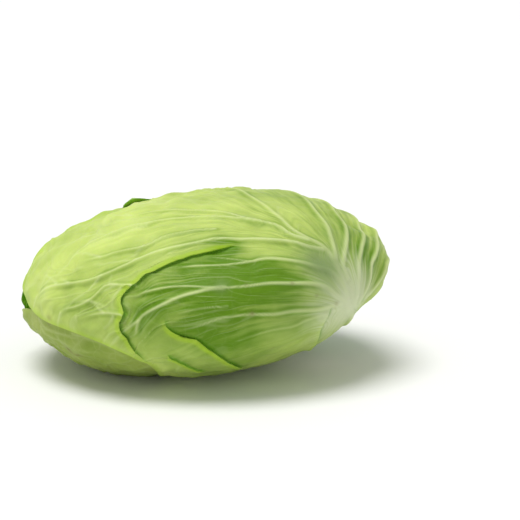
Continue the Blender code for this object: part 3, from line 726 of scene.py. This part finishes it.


# A rib dies away over this many mm at its end. Its cross-section is a narrow crest on a broad swell,
# and a band to each side gets painted shade, partly the blade's own greener colour; all as shares of its
# half width.
RIB_FADE = 14.0
CREST_WIDE = 0.28
SWELL_WIDE = 0.70
CREST_SHARE = 0.35
RIB_BLEND = 2.5
FLANK_OUT = 0.5
FLANK_WIDE = 0.22

# The pale line on a rib, broadest at the stalk.
LINE_WIDE = 0.19
LINE_WIDER = 0.17
LINE_RUN = 55.0
LINE_PALES = 0.35

# How soft the change is from one rib's place in the fan to the next one's, in mm.
FAN_SOFT = 5.0


def ribs_over(at, run, ribs):
    """Height of the ribs, their crests, their flanks for painted shade, and where each place lies in their
    fan.
    """
    high, crest, flank, fan_sum, weight_sum = np.zeros((5, len(at)))
    nearest = np.full(len(at), 1e3)
    line_width = LINE_WIDE + LINE_WIDER * np.exp(-(run / LINE_RUN) ** 2)
    for line, (tall_in, tall_out), (wide_in, wide_out), fan in ribs:
        gap, along, _, _ = from_line(at, body(line))
        wide = wide_in + (wide_out - wide_in) * along
        length = np.linalg.norm(np.diff(body(line), axis=0), axis=1).sum()
        ends = smoothstep((1 - along) * length / RIB_FADE)
        tall = (tall_in + (tall_out - tall_in) * along) * ends
        sharp = np.exp(-(gap / (CREST_WIDE * wide)) ** 2)
        broad = np.exp(-(gap / (SWELL_WIDE * wide)) ** 2)
        high += (tall * (CREST_SHARE * sharp + (1 - CREST_SHARE) * broad)) ** RIB_BLEND
        # A low rib has a fainter line, and one without height has none.
        ends = ends * min(1.0, 0.15 + 0.55 * tall_in) * min(1.0, 2.0 * tall_in)
        thin = np.exp(-(gap / (line_width * wide)) ** 2) * ends * (1 - LINE_PALES * along)
        crest = np.maximum(crest, thin)
        # Painted shade in a band beside each rib, partly the blade's own greener colour.
        beside = np.exp(-((gap - FLANK_OUT * wide) / (FLANK_WIDE * wide)) ** 2) * ends
        flank = np.maximum(flank, beside)
        nearest = np.minimum(nearest, gap)
        weight = 1 / (gap * gap + FAN_SOFT ** 2) ** 1.5
        fan_sum += fan * weight
        weight_sum += weight
    return high ** (1 / RIB_BLEND), crest, flank * (1 - crest), nearest, fan_sum / weight_sum


def folds_over(at, folds):
    """Rise of the blade towards its folds, its slide over the foot, and painted shade and highlight there.
    """
    high, shade, gleam, under = np.zeros((4, len(at)))
    slide = np.zeros_like(at)
    for line, tall, reach, lip in folds:
        gap, along, side, off = from_line(at, body(line))
        ends = smoothstep(along / FOLD_RISE) * smoothstep((1 - along) / FOLD_DIE)
        signed = np.where(side < 0, -gap, gap)
        q = np.clip(signed / FOLD_BAND, -1, 1)
        top = np.where(signed < FOLD_BAND, np.exp(-(np.minimum(signed, 0) / reach) ** 2), 0.0)
        wall = 1 - smoothstep((q + WALL_HALF) / (2 * WALL_HALF))
        bead = BEAD_TALL * np.exp(-((signed + BEAD_BACK) / BEAD_WIDE) ** 2)
        dip = DIP_DEEP * np.exp(-(np.maximum(signed, 0) / DIP_WIDE) ** 2) * (1 - wall)
        high += ends * (tall * top * wall + bead - dip)
        push = lip * ends * np.sin(math.pi * np.abs(q)) * (1 - q * q)
        slide -= off / np.maximum(gap, 1e-6)[:, None] * push[:, None]
        # Painted shadow along the foot of the fold, under its lip.
        past_foot = np.maximum(signed - FOOT_START, 0)
        near_foot = np.exp(-(past_foot / FOOT_SHADE_WIDE) ** 2) * (signed > -FOOT_START)
        shade = np.maximum(shade, np.sqrt(ends) * near_foot)
        # Painted highlight along the lip of the fold.
        near_lip = np.exp(-((signed + LIP_GLEAM_BACK) / LIP_GLEAM_WIDE) ** 2)
        gleam = np.maximum(gleam, ends * near_lip * (signed < FOOT_START))
        # Painted shade, fading away beyond the foot.
        under = np.maximum(under, ends * np.exp(-(signed / reach) ** 2) * (signed > 0))
    return high, slide, shade, gleam, under


# Fine side veins: height, half width and how near they may come to a line, in mm; their slant in
# degrees, how many points they have, how they bend at each, and how many rib points lie between two.
VEIN_TALL = 0.4
VEIN_WIDE = 0.9
VEIN_MEET = 2.4
VEIN_SLANT = (22, 38)
VEIN_POINTS = (8, 16)
VEIN_BEND = (0.84, 1.04)
VEIN_APART = (5, 8)
VEIN_PALES = 0.7
VEIN_ROOM = 6.0


def grow_vein(way, run, hand, taken, draw):
    """A fine vein that leaves a rib at a slant, bends along it, and ends where it meets another."""
    slant = math.radians(draw.uniform(*VEIN_SLANT))
    path = [way]
    at = body(way)
    for _ in range(draw.randint(*VEIN_POINTS)):
        over = np.cross(unit(at / HALF_AXES ** 2), run)
        at = at + VEIN_STEP * (run * math.cos(slant) + hand * over * math.sin(slant))
        way = unit(at / HALF_AXES)
        at = body(way)
        path.append(way)
        slant *= draw.uniform(*VEIN_BEND)
        if len(path) > 3 and np.min(np.sum((taken - at) ** 2, axis=1)) < VEIN_MEET ** 2:
            break
    return np.array(path)


def side_veins(leaf, seed, first_run):
    """Fine veins that leave the ribs in turn to both sides, from first_run mm along the leaf."""
    draw = random.Random(seed)
    root = body(leaf.root)
    taken = np.vstack([body(line) for line, _, _, _ in leaf.ribs])
    veins = []
    for line, _, _, _ in leaf.ribs:
        hand = draw.choice((-1, 1))
        k = 3
        while k < len(line) - 1:
            at = body(line[k])
            if np.linalg.norm(at - root) > first_run:
                run = unit(body(line[k + 1]) - body(line[k - 1]))
                vein = grow_vein(line[k], run, hand, taken, draw)
                taken = np.vstack([taken, body(vein[2:])])
                veins.append(vein)
                hand = -hand
            k += draw.randint(*VEIN_APART)
    return veins


def veins_over(at, veins):
    """Closeness to the fine veins, from 0 to 1."""
    close = np.zeros(len(at))
    for path in veins:
        line = body(path)
        reach = np.linalg.norm(line[-1] - line[0]) / 2 + VEIN_ROOM
        near = np.flatnonzero(np.sum((at - line.mean(axis=0)) ** 2, axis=1) < reach * reach)
        if len(near):
            gap, along, _, _ = from_line(at[near], line)
            fade = 1 - VEIN_PALES * along
            close[near] = np.maximum(close[near], fade * np.exp(-(gap / VEIN_WIDE) ** 2))
    return close


# The blade between the ribs puffs up, puckers and ripples along them, and further out it is looser
# and creased. Puckers have a height and size in mm and a seed, ripples a height, seed, length in mm
# and width in ribs.
PUFF_TALL = 0.35
PUFF_REACH = 5.0
PUCKERS = [(1.1, 16.0, 3.1), (0.7, 7.0, 11.7)]
RIPPLES = [(0.45, 5.3, 45.0, 0.5), (0.1, 8.9, 25.0, 0.25)]
OUTER_LOOSE = 0.8
OUTER_CALM = 0.5
LOW_CALM = 0.6
CREASE_DEEP = 0.4
CREASE_SIZE = 17.0
CREASE_WIDE = 0.16
CREASE_SEED = 47.3
WRINKLE_TALL = 0.5
WRINKLE_LONG = 34.0
WRINKLE_RIBS = 0.6
WRINKLE_WIDE = 0.10
WRINKLE_SEED = 2.7
WRINKLE_PALE = 0.45
SHARPEN = 1.5

# Where each comes up, from start to full: in mm from the stalk, in mm from a rib, or in ribs.
RELIEF_RUN = (12.0, 42.0)
VEIN_RUN = (25.0, 55.0)
WRINKLE_RUN = (90.0, 120.0)
OUTER_RUN = (100.0, 140.0)
RELIEF_GAP = (0.0, 4.0)
LOW_FAN = (6.2, 7.4)


def coming_up(value, start, full):
    """0 up to start, 1 from full on."""
    return smoothstep((value - start) / (full - start))


def blade_relief(at, run, fan, nearest):
    """Height of the blade's fine relief, and its long wrinkles from 0 to 1."""
    puff = PUFF_TALL * (1 - np.exp(-(nearest / PUFF_REACH) ** 2))
    outer_part = coming_up(run, *OUTER_RUN)
    pucker = sum(tall * grain(at, size, seed) for tall, size, seed in PUCKERS)
    pucker = pucker * (1 + OUTER_LOOSE * outer_part)
    ripple = sum(tall * flow_grain(run, fan, seed, long, wide) for tall, seed, long, wide in RIPPLES)
    ripple = ripple * (1 - OUTER_CALM * outer_part) * (1 - LOW_CALM * coming_up(fan, *LOW_FAN))
    crease = np.clip(1 - np.abs(grain(at, CREASE_SIZE, CREASE_SEED)) / CREASE_WIDE, 0, 1) ** SHARPEN
    fine = puff + pucker + ripple - CREASE_DEEP * crease * outer_part
    fine = fine * coming_up(nearest, *RELIEF_GAP) * coming_up(run, *RELIEF_RUN)
    wrinkle = flow_grain(run, fan, WRINKLE_SEED, WRINKLE_LONG, WRINKLE_RIBS)
    wrinkle = np.clip(1 - np.abs(wrinkle) / WRINKLE_WIDE, 0, 1) ** SHARPEN
    return fine, wrinkle * coming_up(run, *WRINKLE_RUN)


def dress(piece, leaf, order, ways, veins, outside):
    """Lays one side of a leaf over the head, and stores what its skin needs."""
    at = body(ways)
    deep = depth_over(ways, order)
    free = bare(ways, order)
    rim_gap, rim_along, _, _ = from_line(at, leaf.edge)
    lift = margin_lift(leaf, ways, order, rim_gap, rim_along)
    run = np.linalg.norm(at - body(leaf.root), axis=1)
    high, crest, flank, nearest, fan = ribs_over(at, run, leaf.ribs)
    if leaf.name == "front_leaf":
        boss = np.exp(-(run / BOSS_SPREAD) ** 2)
        high = high * (1 - BOSS_SMOOTH * np.exp(-(run / (2.0 * BOSS_SPREAD)) ** 2)) + BOSS_RISE * boss
    fold_high, slide, shade, gleam, under = folds_over(at, leaf.folds)
    thin = veins_over(at, veins) * coming_up(run, *VEIN_RUN)
    if outside:
        fine, wrinkle = blade_relief(at, run, fan, nearest)
        thin = np.maximum(thin, WRINKLE_PALE * wrinkle)
        relief = high + VEIN_TALL * thin + WRINKLE_TALL * wrinkle + fine
        relief = relief * smoothstep(rim_gap / RIM_CALM) + fold_high
        places = place(ways, lift - deep + relief * free, deep, slide * free[:, None])
    else:
        thick = RIM_THICK + (LEAF_THICK - RIM_THICK) * smoothstep(rim_gap / RIM_TAPER)
        places = place(ways, lift - deep - thick, deep + thick)
    move_to(piece, (places + SHIFT) * METRES)
    fields = {"rib": crest, "flank": flank, "vein": thin, "run": run, "fan": fan, "shade": shade,
              "gleam": gleam, "under": under, "margin": rim_gap}
    for name, values in fields.items():
        keep_field(piece, name, values)
    for name, patches in leaf.patches.items():
        keep_field(piece, name, spread_over(at, patches))


def join_rims(outer, inner):
    """Joins the two sides of a leaf and closes them with a wall round the rim."""
    start_clear()
    outer.select_set(True)
    inner.select_set(True)
    bpy.context.view_layer.objects.active = outer
    bpy.ops.object.join()
    bpy.ops.object.mode_set(mode="EDIT")
    bpy.ops.mesh.select_mode(type="EDGE")
    bpy.ops.mesh.select_all(action="DESELECT")
    bpy.ops.mesh.select_non_manifold(extend=False, use_wire=False, use_boundary=True,
                                     use_multi_face=False, use_non_contiguous=False, use_verts=False)
    bpy.ops.mesh.bridge_edge_loops()
    bpy.ops.mesh.select_all(action="SELECT")
    bpy.ops.mesh.normals_make_consistent(inside=False)
    bpy.ops.mesh.quads_convert_to_tris()
    bpy.ops.object.mode_set(mode="OBJECT")
    bpy.ops.object.shade_smooth_by_angle(angle=math.radians(70.0))


# The inner side is coarser, and the outer one finer in two bands along the folds, in mm. Side veins
# start this far from the stalk, in mm, on the front leaf only where it turns pale at the far end.
INNER_SHARE = 5
FINE_BANDS = (3.2, 2.0)
VEIN_SEED = 40
VEINS_START = 30.0
FRONT_VEINS_START = 125.0


def make_leaf(leaf, order):
    veins_start = FRONT_VEINS_START if leaf.name == "front_leaf" else VEINS_START
    veins = side_veins(leaf, VEIN_SEED + order, veins_start) + leaf.branches
    outer = new_sheet(leaf.name + "_sheet", leaf, leaf.cells)
    for band in FINE_BANDS if leaf.folds else ():
        refine_folds(outer, leaf, band)
    dress(outer, leaf, order, unit(places_of(outer)), veins, True)
    inner = new_sheet(leaf.name + "_inside", leaf, leaf.cells // INNER_SHARE)
    dress(inner, leaf, order, unit(places_of(inner)), veins, False)
    join_rims(outer, inner)
    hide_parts(leaf.name)
    return outer


def make_head():
    """The inner leaves, packed into one dense ball, with the edges of their outer layer."""
    start_clear()
    bpy.ops.mesh.primitive_ico_sphere_add(subdivisions=7, radius=1.0)
    head = bpy.context.object
    head.name = "head_sheet"
    ways = unit(places_of(head))
    order = len(LEAVES)
    at = body(ways)
    socket = SOCKET_DEPTH * near_stem(at, DIMPLE_FLAT, SOCKET_RIM)
    deep = np.maximum(depth_over(ways, order) + HEAD_GAP, socket)
    free = bare(ways, order)
    relief = np.zeros(len(ways))
    for line in HEAD_EDGES:
        gap, _, side, _ = from_line(at, body(curve(line, RIB_STEP)))
        relief += np.where(side < 0, HEAD_EDGE_RISE * np.exp(-(gap / HEAD_EDGE_REACH) ** 2), 0.0)
    relief += HEAD_PUCKER * grain(at, HEAD_PUCKER_SIZE, HEAD_PUCKER_SEED)
    move_to(head, (place(ways, relief * free - deep, deep) + SHIFT) * METRES)
    run = np.linalg.norm(at - body(STEM), axis=1)
    side, other = across_stem()
    fan = np.arctan2((at - body(STEM)) @ side, (at - body(STEM)) @ other) * HEAD_STREAKS
    none = np.zeros(len(ways))
    fields = dict.fromkeys(("rib", "flank", "vein", "shade", "gleam", "under", *LEAVES[0].patches), none)
    fields.update(run=run, fan=fan, margin=none + NO_MARGIN)
    for name, values in fields.items():
        keep_field(head, name, values)
    bpy.ops.object.shade_smooth()
    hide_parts("packed_head")
    return head


def stem_places(profile, sides):
    """Places in mm of a profile turned about the stem's axis, in the leaning head."""
    side, other = across_stem()
    rings = []
    for k in range(sides):
        t = 2 * math.pi * k / sides
        spoke = side * math.cos(t) + other * math.sin(t)
        rings += [body(STEM) + spoke * r + outward(STEM) * z for r, z in profile]
    return leaned(np.array(rings)) + np.array([0.0, 0.0, FLAT_DROP])


STEM_TOP = -STEM_FACE_DEPTH
STEM_BOTTOM = -DIMPLE_DEPTH - SOCKET_DEPTH + CLEARANCE
STEM_PROFILE = [(STEM_RADIUS - STEM_BEVEL, STEM_TOP), (STEM_RADIUS, STEM_TOP - STEM_BEVEL),
                (STEM_RADIUS + STEM_FLARE, STEM_BOTTOM)]

# Its fine mesh: the rings let into its face, by their widths as shares of its radius, where the
# bevel starts, how deep in mm and how broad the face is sunk, its slightly lobed round in mm, and
# the share that its side has for the skin.
FACE_RINGS = (0.08, 0.10, 0.14, 0.20, 0.22, 0.16)
FACE_EDGE = 0.93
FACE_SINK = 0.5
FACE_SINK_WIDE = 0.45
LOBES = 5
LOBE_RISE = 0.25
LOBE_ROOM = 0.3
SIDE_SHARE = 1.1

# The frame's origin lies under the middle of the cabbage, a little off the head's own middle.
stem_low = stem_places(STEM_PROFILE, STEM_SIDES).min(axis=0)
SHIFT = np.array(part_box("stem")[0]) / METRES - stem_low


def make_stem():
    """The cut stem: a turned plug with a slightly sunken, ringed face."""
    start_clear()
    bpy.ops.mesh.primitive_cylinder_add(vertices=96, radius=1.0, depth=2.0, end_fill_type="NGON")
    stem = bpy.context.object
    stem.name = "stem_plug"
    middles = face_middles(stem)
    pick_faces(stem, middles[:, 2] > 0.99)
    for width in FACE_RINGS:
        bpy.ops.mesh.inset(thickness=width, depth=0.0)
    bpy.ops.object.mode_set(mode="OBJECT")
    at = places_of(stem)
    share = np.hypot(at[:, 0], at[:, 1])
    turn = np.arctan2(at[:, 1], at[:, 0])
    top = at[:, 2] > 0
    face = -STEM_BEVEL * smoothstep((share - FACE_EDGE) / (1 - FACE_EDGE))
    face -= FACE_SINK * np.exp(-(share / FACE_SINK_WIDE) ** 2)
    radius = share * (STEM_RADIUS + LOBE_RISE * np.sin(LOBES * turn) - LOBE_ROOM)
    radius = np.where(top, radius, share * (STEM_RADIUS + STEM_FLARE))
    high = np.where(top, STEM_TOP + face, STEM_BOTTOM)
    side, other = across_stem()
    spoke = np.cos(turn)[:, None] * side + np.sin(turn)[:, None] * other
    places = leaned(body(STEM) + spoke * radius[:, None] + high[:, None] * outward(STEM))
    places[:, 2] += FLAT_DROP
    move_to(stem, (places + SHIFT) * METRES)
    keep_field(stem, "share", np.where(top, share, SIDE_SHARE))
    bpy.ops.object.shade_smooth_by_angle(angle=math.radians(50.0))
    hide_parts("stem")
    return stem


# Skins.

class Wire:
    """An output of a node in a skin. Arithmetic on it adds Math nodes."""

    def __init__(self, skin, socket):
        self.skin = skin
        self.socket = socket

    def __add__(self, other):
        return self.skin.maths("ADD", self, other)

    def __sub__(self, other):
        return self.skin.maths("SUBTRACT", self, other)

    def __rsub__(self, other):
        return self.skin.maths("SUBTRACT", other, self)

    def __mul__(self, other):
        return self.skin.maths("MULTIPLY", self, other)

    __radd__ = __add__
    __rmul__ = __mul__


class Skin:
    """A procedural material, built from wires."""

    def __init__(self, name):
        self.material = bpy.data.materials.new(name)
        self.material.use_nodes = True
        self.tree = self.material.node_tree
        self.shader = self.tree.nodes["Principled BSDF"]

    def node(self, kind, settings, values, output=0):
        """A node of this kind: its settings are set first, then its sockets' values or links."""
        made = self.tree.nodes.new(kind)
        for key, value in settings.items():
            setattr(made, key, value)
        for key, value in values.items():
            self.feed(made.inputs[key], value)
        return Wire(self, made.outputs[output])

    def feed(self, socket, value):
        if isinstance(value, Wire):
            self.tree.links.new(value.socket, socket)
        else:
            socket.default_value = value

    def maths(self, operation, a, b):
        return self.node("ShaderNodeMath", {"operation": operation}, {0: a, 1: b})

    def field(self, name):
        return self.node("ShaderNodeAttribute", {"attribute_name": name}, {}, "Fac")

    def between(self, value, low, high, way="SMOOTHSTEP"):
        """0 where value is low, 1 where it is high, smooth between them unless told otherwise."""
        return self.node("ShaderNodeMapRange", {"interpolation_type": way},
                         {"Value": value, "From Min": low, "From Max": high})

    def blend(self, share, a, b):
        """Colour a where share is 0, colour b where it is 1."""
        def full(c):
            return c if isinstance(c, Wire) else (*c, 1.0)
        return self.node("ShaderNodeMix", {"data_type": "RGBA"}, {0: share, 6: full(a), 7: full(b)}, 2)

    def clouds(self, where, scale, detail=3.0):
        return self.node("ShaderNodeTexNoise", {},
                         {"Vector": where, "Scale": scale, "Detail": detail, "Roughness": 0.55}, "Fac")

    def finish(self, colour, roughness, bumps, constants):
        """Wires colour, roughness and a chain of bumps to the shader."""
        self.feed(self.shader.inputs["Base Color"], colour)
        self.feed(self.shader.inputs["Roughness"], roughness)
        normal = None
        for height, depth in bumps:
            values = {"Strength": 1.0, "Distance": depth, "Height": height}
            if normal:
                values["Normal"] = normal
            normal = self.node("ShaderNodeBump", {}, values)
        self.feed(self.shader.inputs["Normal"], normal)
        for key, value in constants.items():
            self.shader.inputs[key].default_value = value
        return self.material


BASE_WHITE = (0.62, 0.68, 0.44)
FOLD_SHADOW_GREEN = (0.11, 0.30, 0.01)
GREY_SHADE_GREEN = (0.22, 0.31, 0.12)
MARK_BROWN = (0.20, 0.17, 0.07)
LEAF_GLOSS = {"Subsurface Weight": 0.08, "Subsurface Radius": (0.6, 1.0, 0.2), "Subsurface Scale": 0.002,
              "Specular IOR Level": 0.1}
DULL = dict(LEAF_GLOSS, **{"Specular IOR Level": 0.0})

# Where a leaf's colours change, in mm from the stalk, and the last in mm from the margin.
PALE_BASE = (4.0, 42.0)
STREAKS_START = (8.0, 60.0)
STREAKS_FADE = (95.0, 140.0)
HAIRS_START = (10.0, 50.0)
FAR_PART = (35.0, 90.0)
MARGIN_BAND = (0.5, 4.5)


def vein_net(skin, here):
    """1 on the lines of a fine, uneven net, 0 between them."""
    warp = skin.node("ShaderNodeTexNoise", {}, {"Vector": here, "Scale": 90.0, "Detail": 1.0}, "Color")
    warped = skin.node("ShaderNodeVectorMath", {"operation": "MULTIPLY_ADD"},
                       {0: warp, 1: (0.006, 0.006, 0.006), 2: here})
    net = skin.node("ShaderNodeTexVoronoi", {"feature": "DISTANCE_TO_EDGE"},
                    {"Vector": warped, "Scale": 130.0}, "Distance")
    return 1 - skin.between(net, 0.0, 0.09)


def leaf_skin(name, light, deep, rib, margin, green, streaky, netted, gloss=LEAF_GLOSS):
    """A leaf's skin, from pale light to deep blade: how green, streaky and netted it is."""
    skin = Skin(name)
    here = skin.node("ShaderNodeTexCoord", {}, {}, "Object")
    run = skin.field("run")
    fan = skin.field("fan")
    crest = skin.field("rib")
    vein = skin.field("vein")
    flow = skin.node("ShaderNodeCombineXYZ", {}, {"X": run * 0.013, "Y": fan * 1.7, "Z": 0.0})
    long_flow = skin.node("ShaderNodeCombineXYZ", {}, {"X": run * 0.004, "Y": fan * 1.7, "Z": 7.0})
    streaks = skin.clouds(flow, 2.2, 2.0)
    fibres = skin.clouds(long_flow, 7.0, 2.0)
    mottle = skin.clouds(here, 55.0, 3.0)
    patches = skin.clouds(here, 24.0, 2.0)
    # The blade: streaks close to the stalk, clouds all over, painted shade that deepens it under a fold,
    # and beside a rib a deeper band, partly painted shade and partly the blade's own greener colour.
    close = (1 - skin.between(run, *STREAKS_FADE) * 0.6) * skin.between(run, *STREAKS_START)
    close = close * (1 - skin.between(fan, *LOW_FAN) * 0.5)
    far = skin.between(run, *FAR_PART)
    tone = skin.field("tone") + green + (mottle - 0.5) * 0.5 + (patches - 0.5) * (0.6 + far * 0.8)
    tone = tone + ((streaks - 0.5) + (fibres - 0.5) * 0.3) * streaky * close
    tone = tone + skin.field("under") * 0.3 + skin.field("flank") * 0.35
    colour = skin.blend(skin.between(tone, -0.35, 1.05, "LINEAR"), light, deep)

    # Then what lies on the blade, from the finest to the plainest.
    colour = skin.blend(vein_net(skin, here) * far * netted, colour, rib)
    hair = skin.between(fibres, 0.54, 0.70) * skin.between(run, *HAIRS_START)
    colour = skin.blend(hair * close * streaky * 0.16, colour, rib)
    colour = skin.blend(vein * 0.45, colour, rib)
    edge = skin.field("margin")
    colour = skin.blend((1 - skin.between(edge, *MARGIN_BAND)) * 0.45, colour, margin)
    # Painted highlight along the lip of each fold, in the margin's yellow green.
    colour = skin.blend(skin.field("gleam") * 0.6, colour, margin)
    # Painted rim light along the front leaf's upper left outline, in the margin's yellow green.
    colour = skin.blend(skin.field("rim"), colour, margin)
    worn = 0.28 + skin.clouds(long_flow, 4.0, 3.0) * 0.75
    colour = skin.blend(skin.between(crest, 0.05, 0.95) * worn, colour, rib)
    pale = 1 - skin.between(run + (streaks - 0.5) * 40.0, *PALE_BASE)
    colour = skin.blend(pale * 0.9, colour, BASE_WHITE)
    # Grey-green patches: painted shade where the ribs meet near the stalk, a grey tint elsewhere.
    colour = skin.blend(skin.field("grey_shade"), colour, GREY_SHADE_GREEN)
    # Painted shadow: a dark green line along the foot of each fold, under its lip.
    colour = skin.blend(skin.field("shade") * 0.75, colour, FOLD_SHADOW_GREEN)
    colour = skin.blend(skin.field("mark") * 0.8, colour, MARK_BROWN)
    rough = 0.44 + (mottle - 0.5) * 0.2 + fibres * 0.06
    bumps = [((fibres * 0.4 + streaks) * close, 0.0006), (skin.clouds(here, 420.0, 3.0), 0.0002)]
    return skin.finish(colour, rough, bumps, gloss)


def stem_skin():
    """Pale cut stem: woody ring, pith and a little browning."""
    skin = Skin("stem_skin")
    here = skin.node("ShaderNodeTexCoord", {}, {}, "Object")
    share = skin.field("share")
    mottle = skin.clouds(here, 220.0, 4.0)
    wander = share + (mottle - 0.5) * 0.12
    ring = skin.between(wander, 0.62, 0.70) * (1 - skin.between(wander, 0.80, 0.90))
    colour = skin.blend(mottle, (0.68, 0.70, 0.46), (0.80, 0.78, 0.58))
    colour = skin.blend(ring * 0.5, colour, (0.50, 0.56, 0.24))
    colour = skin.blend(skin.between(wander, 0.9, 1.05) * 0.6, colour, (0.45, 0.52, 0.20))
    brown = skin.between(skin.clouds(here, 90.0, 5.0), 0.52, 0.75)
    colour = skin.blend(brown * 0.55, colour, (0.42, 0.30, 0.13))
    bumps = [(mottle + ring * 0.5, 0.0006), (skin.clouds(here, 1500.0, 2.0), 0.0002)]
    return skin.finish(colour, 0.55 + mottle * 0.15, bumps, {"Specular IOR Level": 0.35})


def front_skin():
    return leaf_skin("front_leaf_skin", light=(0.60, 0.73, 0.19), deep=(0.115, 0.245, 0.010),
                     rib=(0.68, 0.77, 0.37), margin=(0.38, 0.58, 0.02), green=0.15, streaky=1.4,
                     netted=0.03)


def back_skin():
    return leaf_skin("back_leaf_skin", light=(0.30, 0.50, 0.06), deep=(0.09, 0.27, 0.01),
                     rib=(0.56, 0.68, 0.30), margin=(0.16, 0.40, 0.01), green=0.35, streaky=0.6,
                     netted=0.16)


# Olive green, partly its own and partly painted shade for the bottom strip it shows as.
def belly_skin():
    return leaf_skin("belly_leaf_skin", light=(0.38, 0.46, 0.11), deep=(0.18, 0.28, 0.03),
                     rib=(0.54, 0.62, 0.26), margin=(0.36, 0.48, 0.06), green=0.3, streaky=0.7,
                     netted=0.10)


# Deep green, partly its own and partly painted shade for where it lies below the others.
def under_shaded_skin():
    return leaf_skin("under_leaf_shaded_skin", light=(0.09, 0.26, 0.004), deep=(0.025, 0.13, 0.001),
                     rib=(0.28, 0.44, 0.07), margin=(0.08, 0.26, 0.004), green=0.5, streaky=0.6,
                     netted=0.12, gloss=DULL)


def head_skin():
    return leaf_skin("packed_head_skin", light=(0.60, 0.70, 0.28), deep=(0.36, 0.54, 0.10),
                     rib=(0.66, 0.74, 0.42), margin=(0.5, 0.6, 0.2), green=0.2, streaky=0.8,
                     netted=0.10)


SKINS = {
    "front_leaf": front_skin(),
    "back_leaf": back_skin(),
    "belly_leaf": belly_skin(),
    "under_leaf": under_shaded_skin(),
    "packed_head": head_skin(),
    "stem": stem_skin(),
}


def finish_piece(piece, slot):
    """Gives a piece the skin that slot names, and its body."""
    piece.data.materials.clear()
    piece.data.materials.append(SKINS[slot])
    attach(piece, "root")


for order, leaf in enumerate(LEAVES):
    finish_piece(make_leaf(leaf, order), leaf.name)
finish_piece(make_head(), "packed_head")
finish_piece(make_stem(), "stem")


# Stage: a plain pale floor, soft lights and the camera at the photographer's eye.

FLOOR_RADIUS = 6.0


def make_floor():
    start_clear()
    bpy.ops.mesh.primitive_circle_add(vertices=96, radius=FLOOR_RADIUS, fill_type="NGON")
    floor = bpy.context.object
    floor.name = "floor"
    skin = Skin("floor_paint")
    here = skin.node("ShaderNodeTexCoord", {}, {}, "Object")
    haze = skin.clouds(here, 3.0, 2.0)
    colour = skin.blend(haze, (0.90, 0.90, 0.90), (0.93, 0.93, 0.93))
    floor.data.materials.append(skin.finish(colour, 0.8, [(haze, 0.0001)], {"Specular IOR Level": 0.1}))


# Strength of the room's white light along the floor and overhead, and where it changes.
SKY_LOW = 1.0
SKY_HIGH = 0.44
SKY_CHANGE = (0.10, 0.30)

KEY_ENERGY = 2.25
KEY_SIZE_DEG = 36.0
KEY_COLOUR = (1.0, 0.995, 0.98)
KEY_WAY = (0.22, 0.10, -1.0)


def make_surround():
    """A white room, dimmer overhead than along the floor."""
    world = bpy.data.worlds.new("studio")
    world.use_nodes = True
    tree = world.node_tree
    way = tree.nodes.new("ShaderNodeTexCoord")
    split = tree.nodes.new("ShaderNodeSeparateXYZ")
    fade = tree.nodes.new("ShaderNodeMapRange")
    tree.links.new(way.outputs["Generated"], split.inputs["Vector"])
    tree.links.new(split.outputs["Z"], fade.inputs["Value"])
    for key, value in zip(("From Min", "From Max", "To Min", "To Max"), (*SKY_CHANGE, SKY_LOW, SKY_HIGH)):
        fade.inputs[key].default_value = value
    tree.nodes["Background"].inputs["Color"].default_value = (1.0, 1.0, 1.0, 1.0)
    tree.links.new(fade.outputs["Result"], tree.nodes["Background"].inputs["Strength"])
    bpy.context.scene.world = world


def make_key():
    """A soft light high on the left."""
    start_clear()
    bpy.ops.object.light_add(type="SUN", location=(-0.6, -0.4, 1.5))
    key = bpy.context.object
    key.name = "key"
    key.data.energy = KEY_ENERGY
    key.data.angle = math.radians(KEY_SIZE_DEG)
    key.data.color = KEY_COLOUR
    key.rotation_euler = Vector(KEY_WAY).to_track_quat("-Z", "Y").to_euler()


def make_camera():
    start_clear()
    head_middle = SHIFT + np.array([0.0, 0.0, FLAT_DROP])
    bpy.ops.object.camera_add(location=Vector((head_middle + EYE) * METRES))
    camera = bpy.context.object
    camera.rotation_euler = Vector(SIGHT_AHEAD).to_track_quat("-Z", "Y").to_euler()
    camera.data.lens = EYE_LENS
    bpy.context.scene.camera = camera


make_floor()
make_surround()
make_key()
make_camera()
bpy.context.scene.view_settings.view_transform = "Standard"
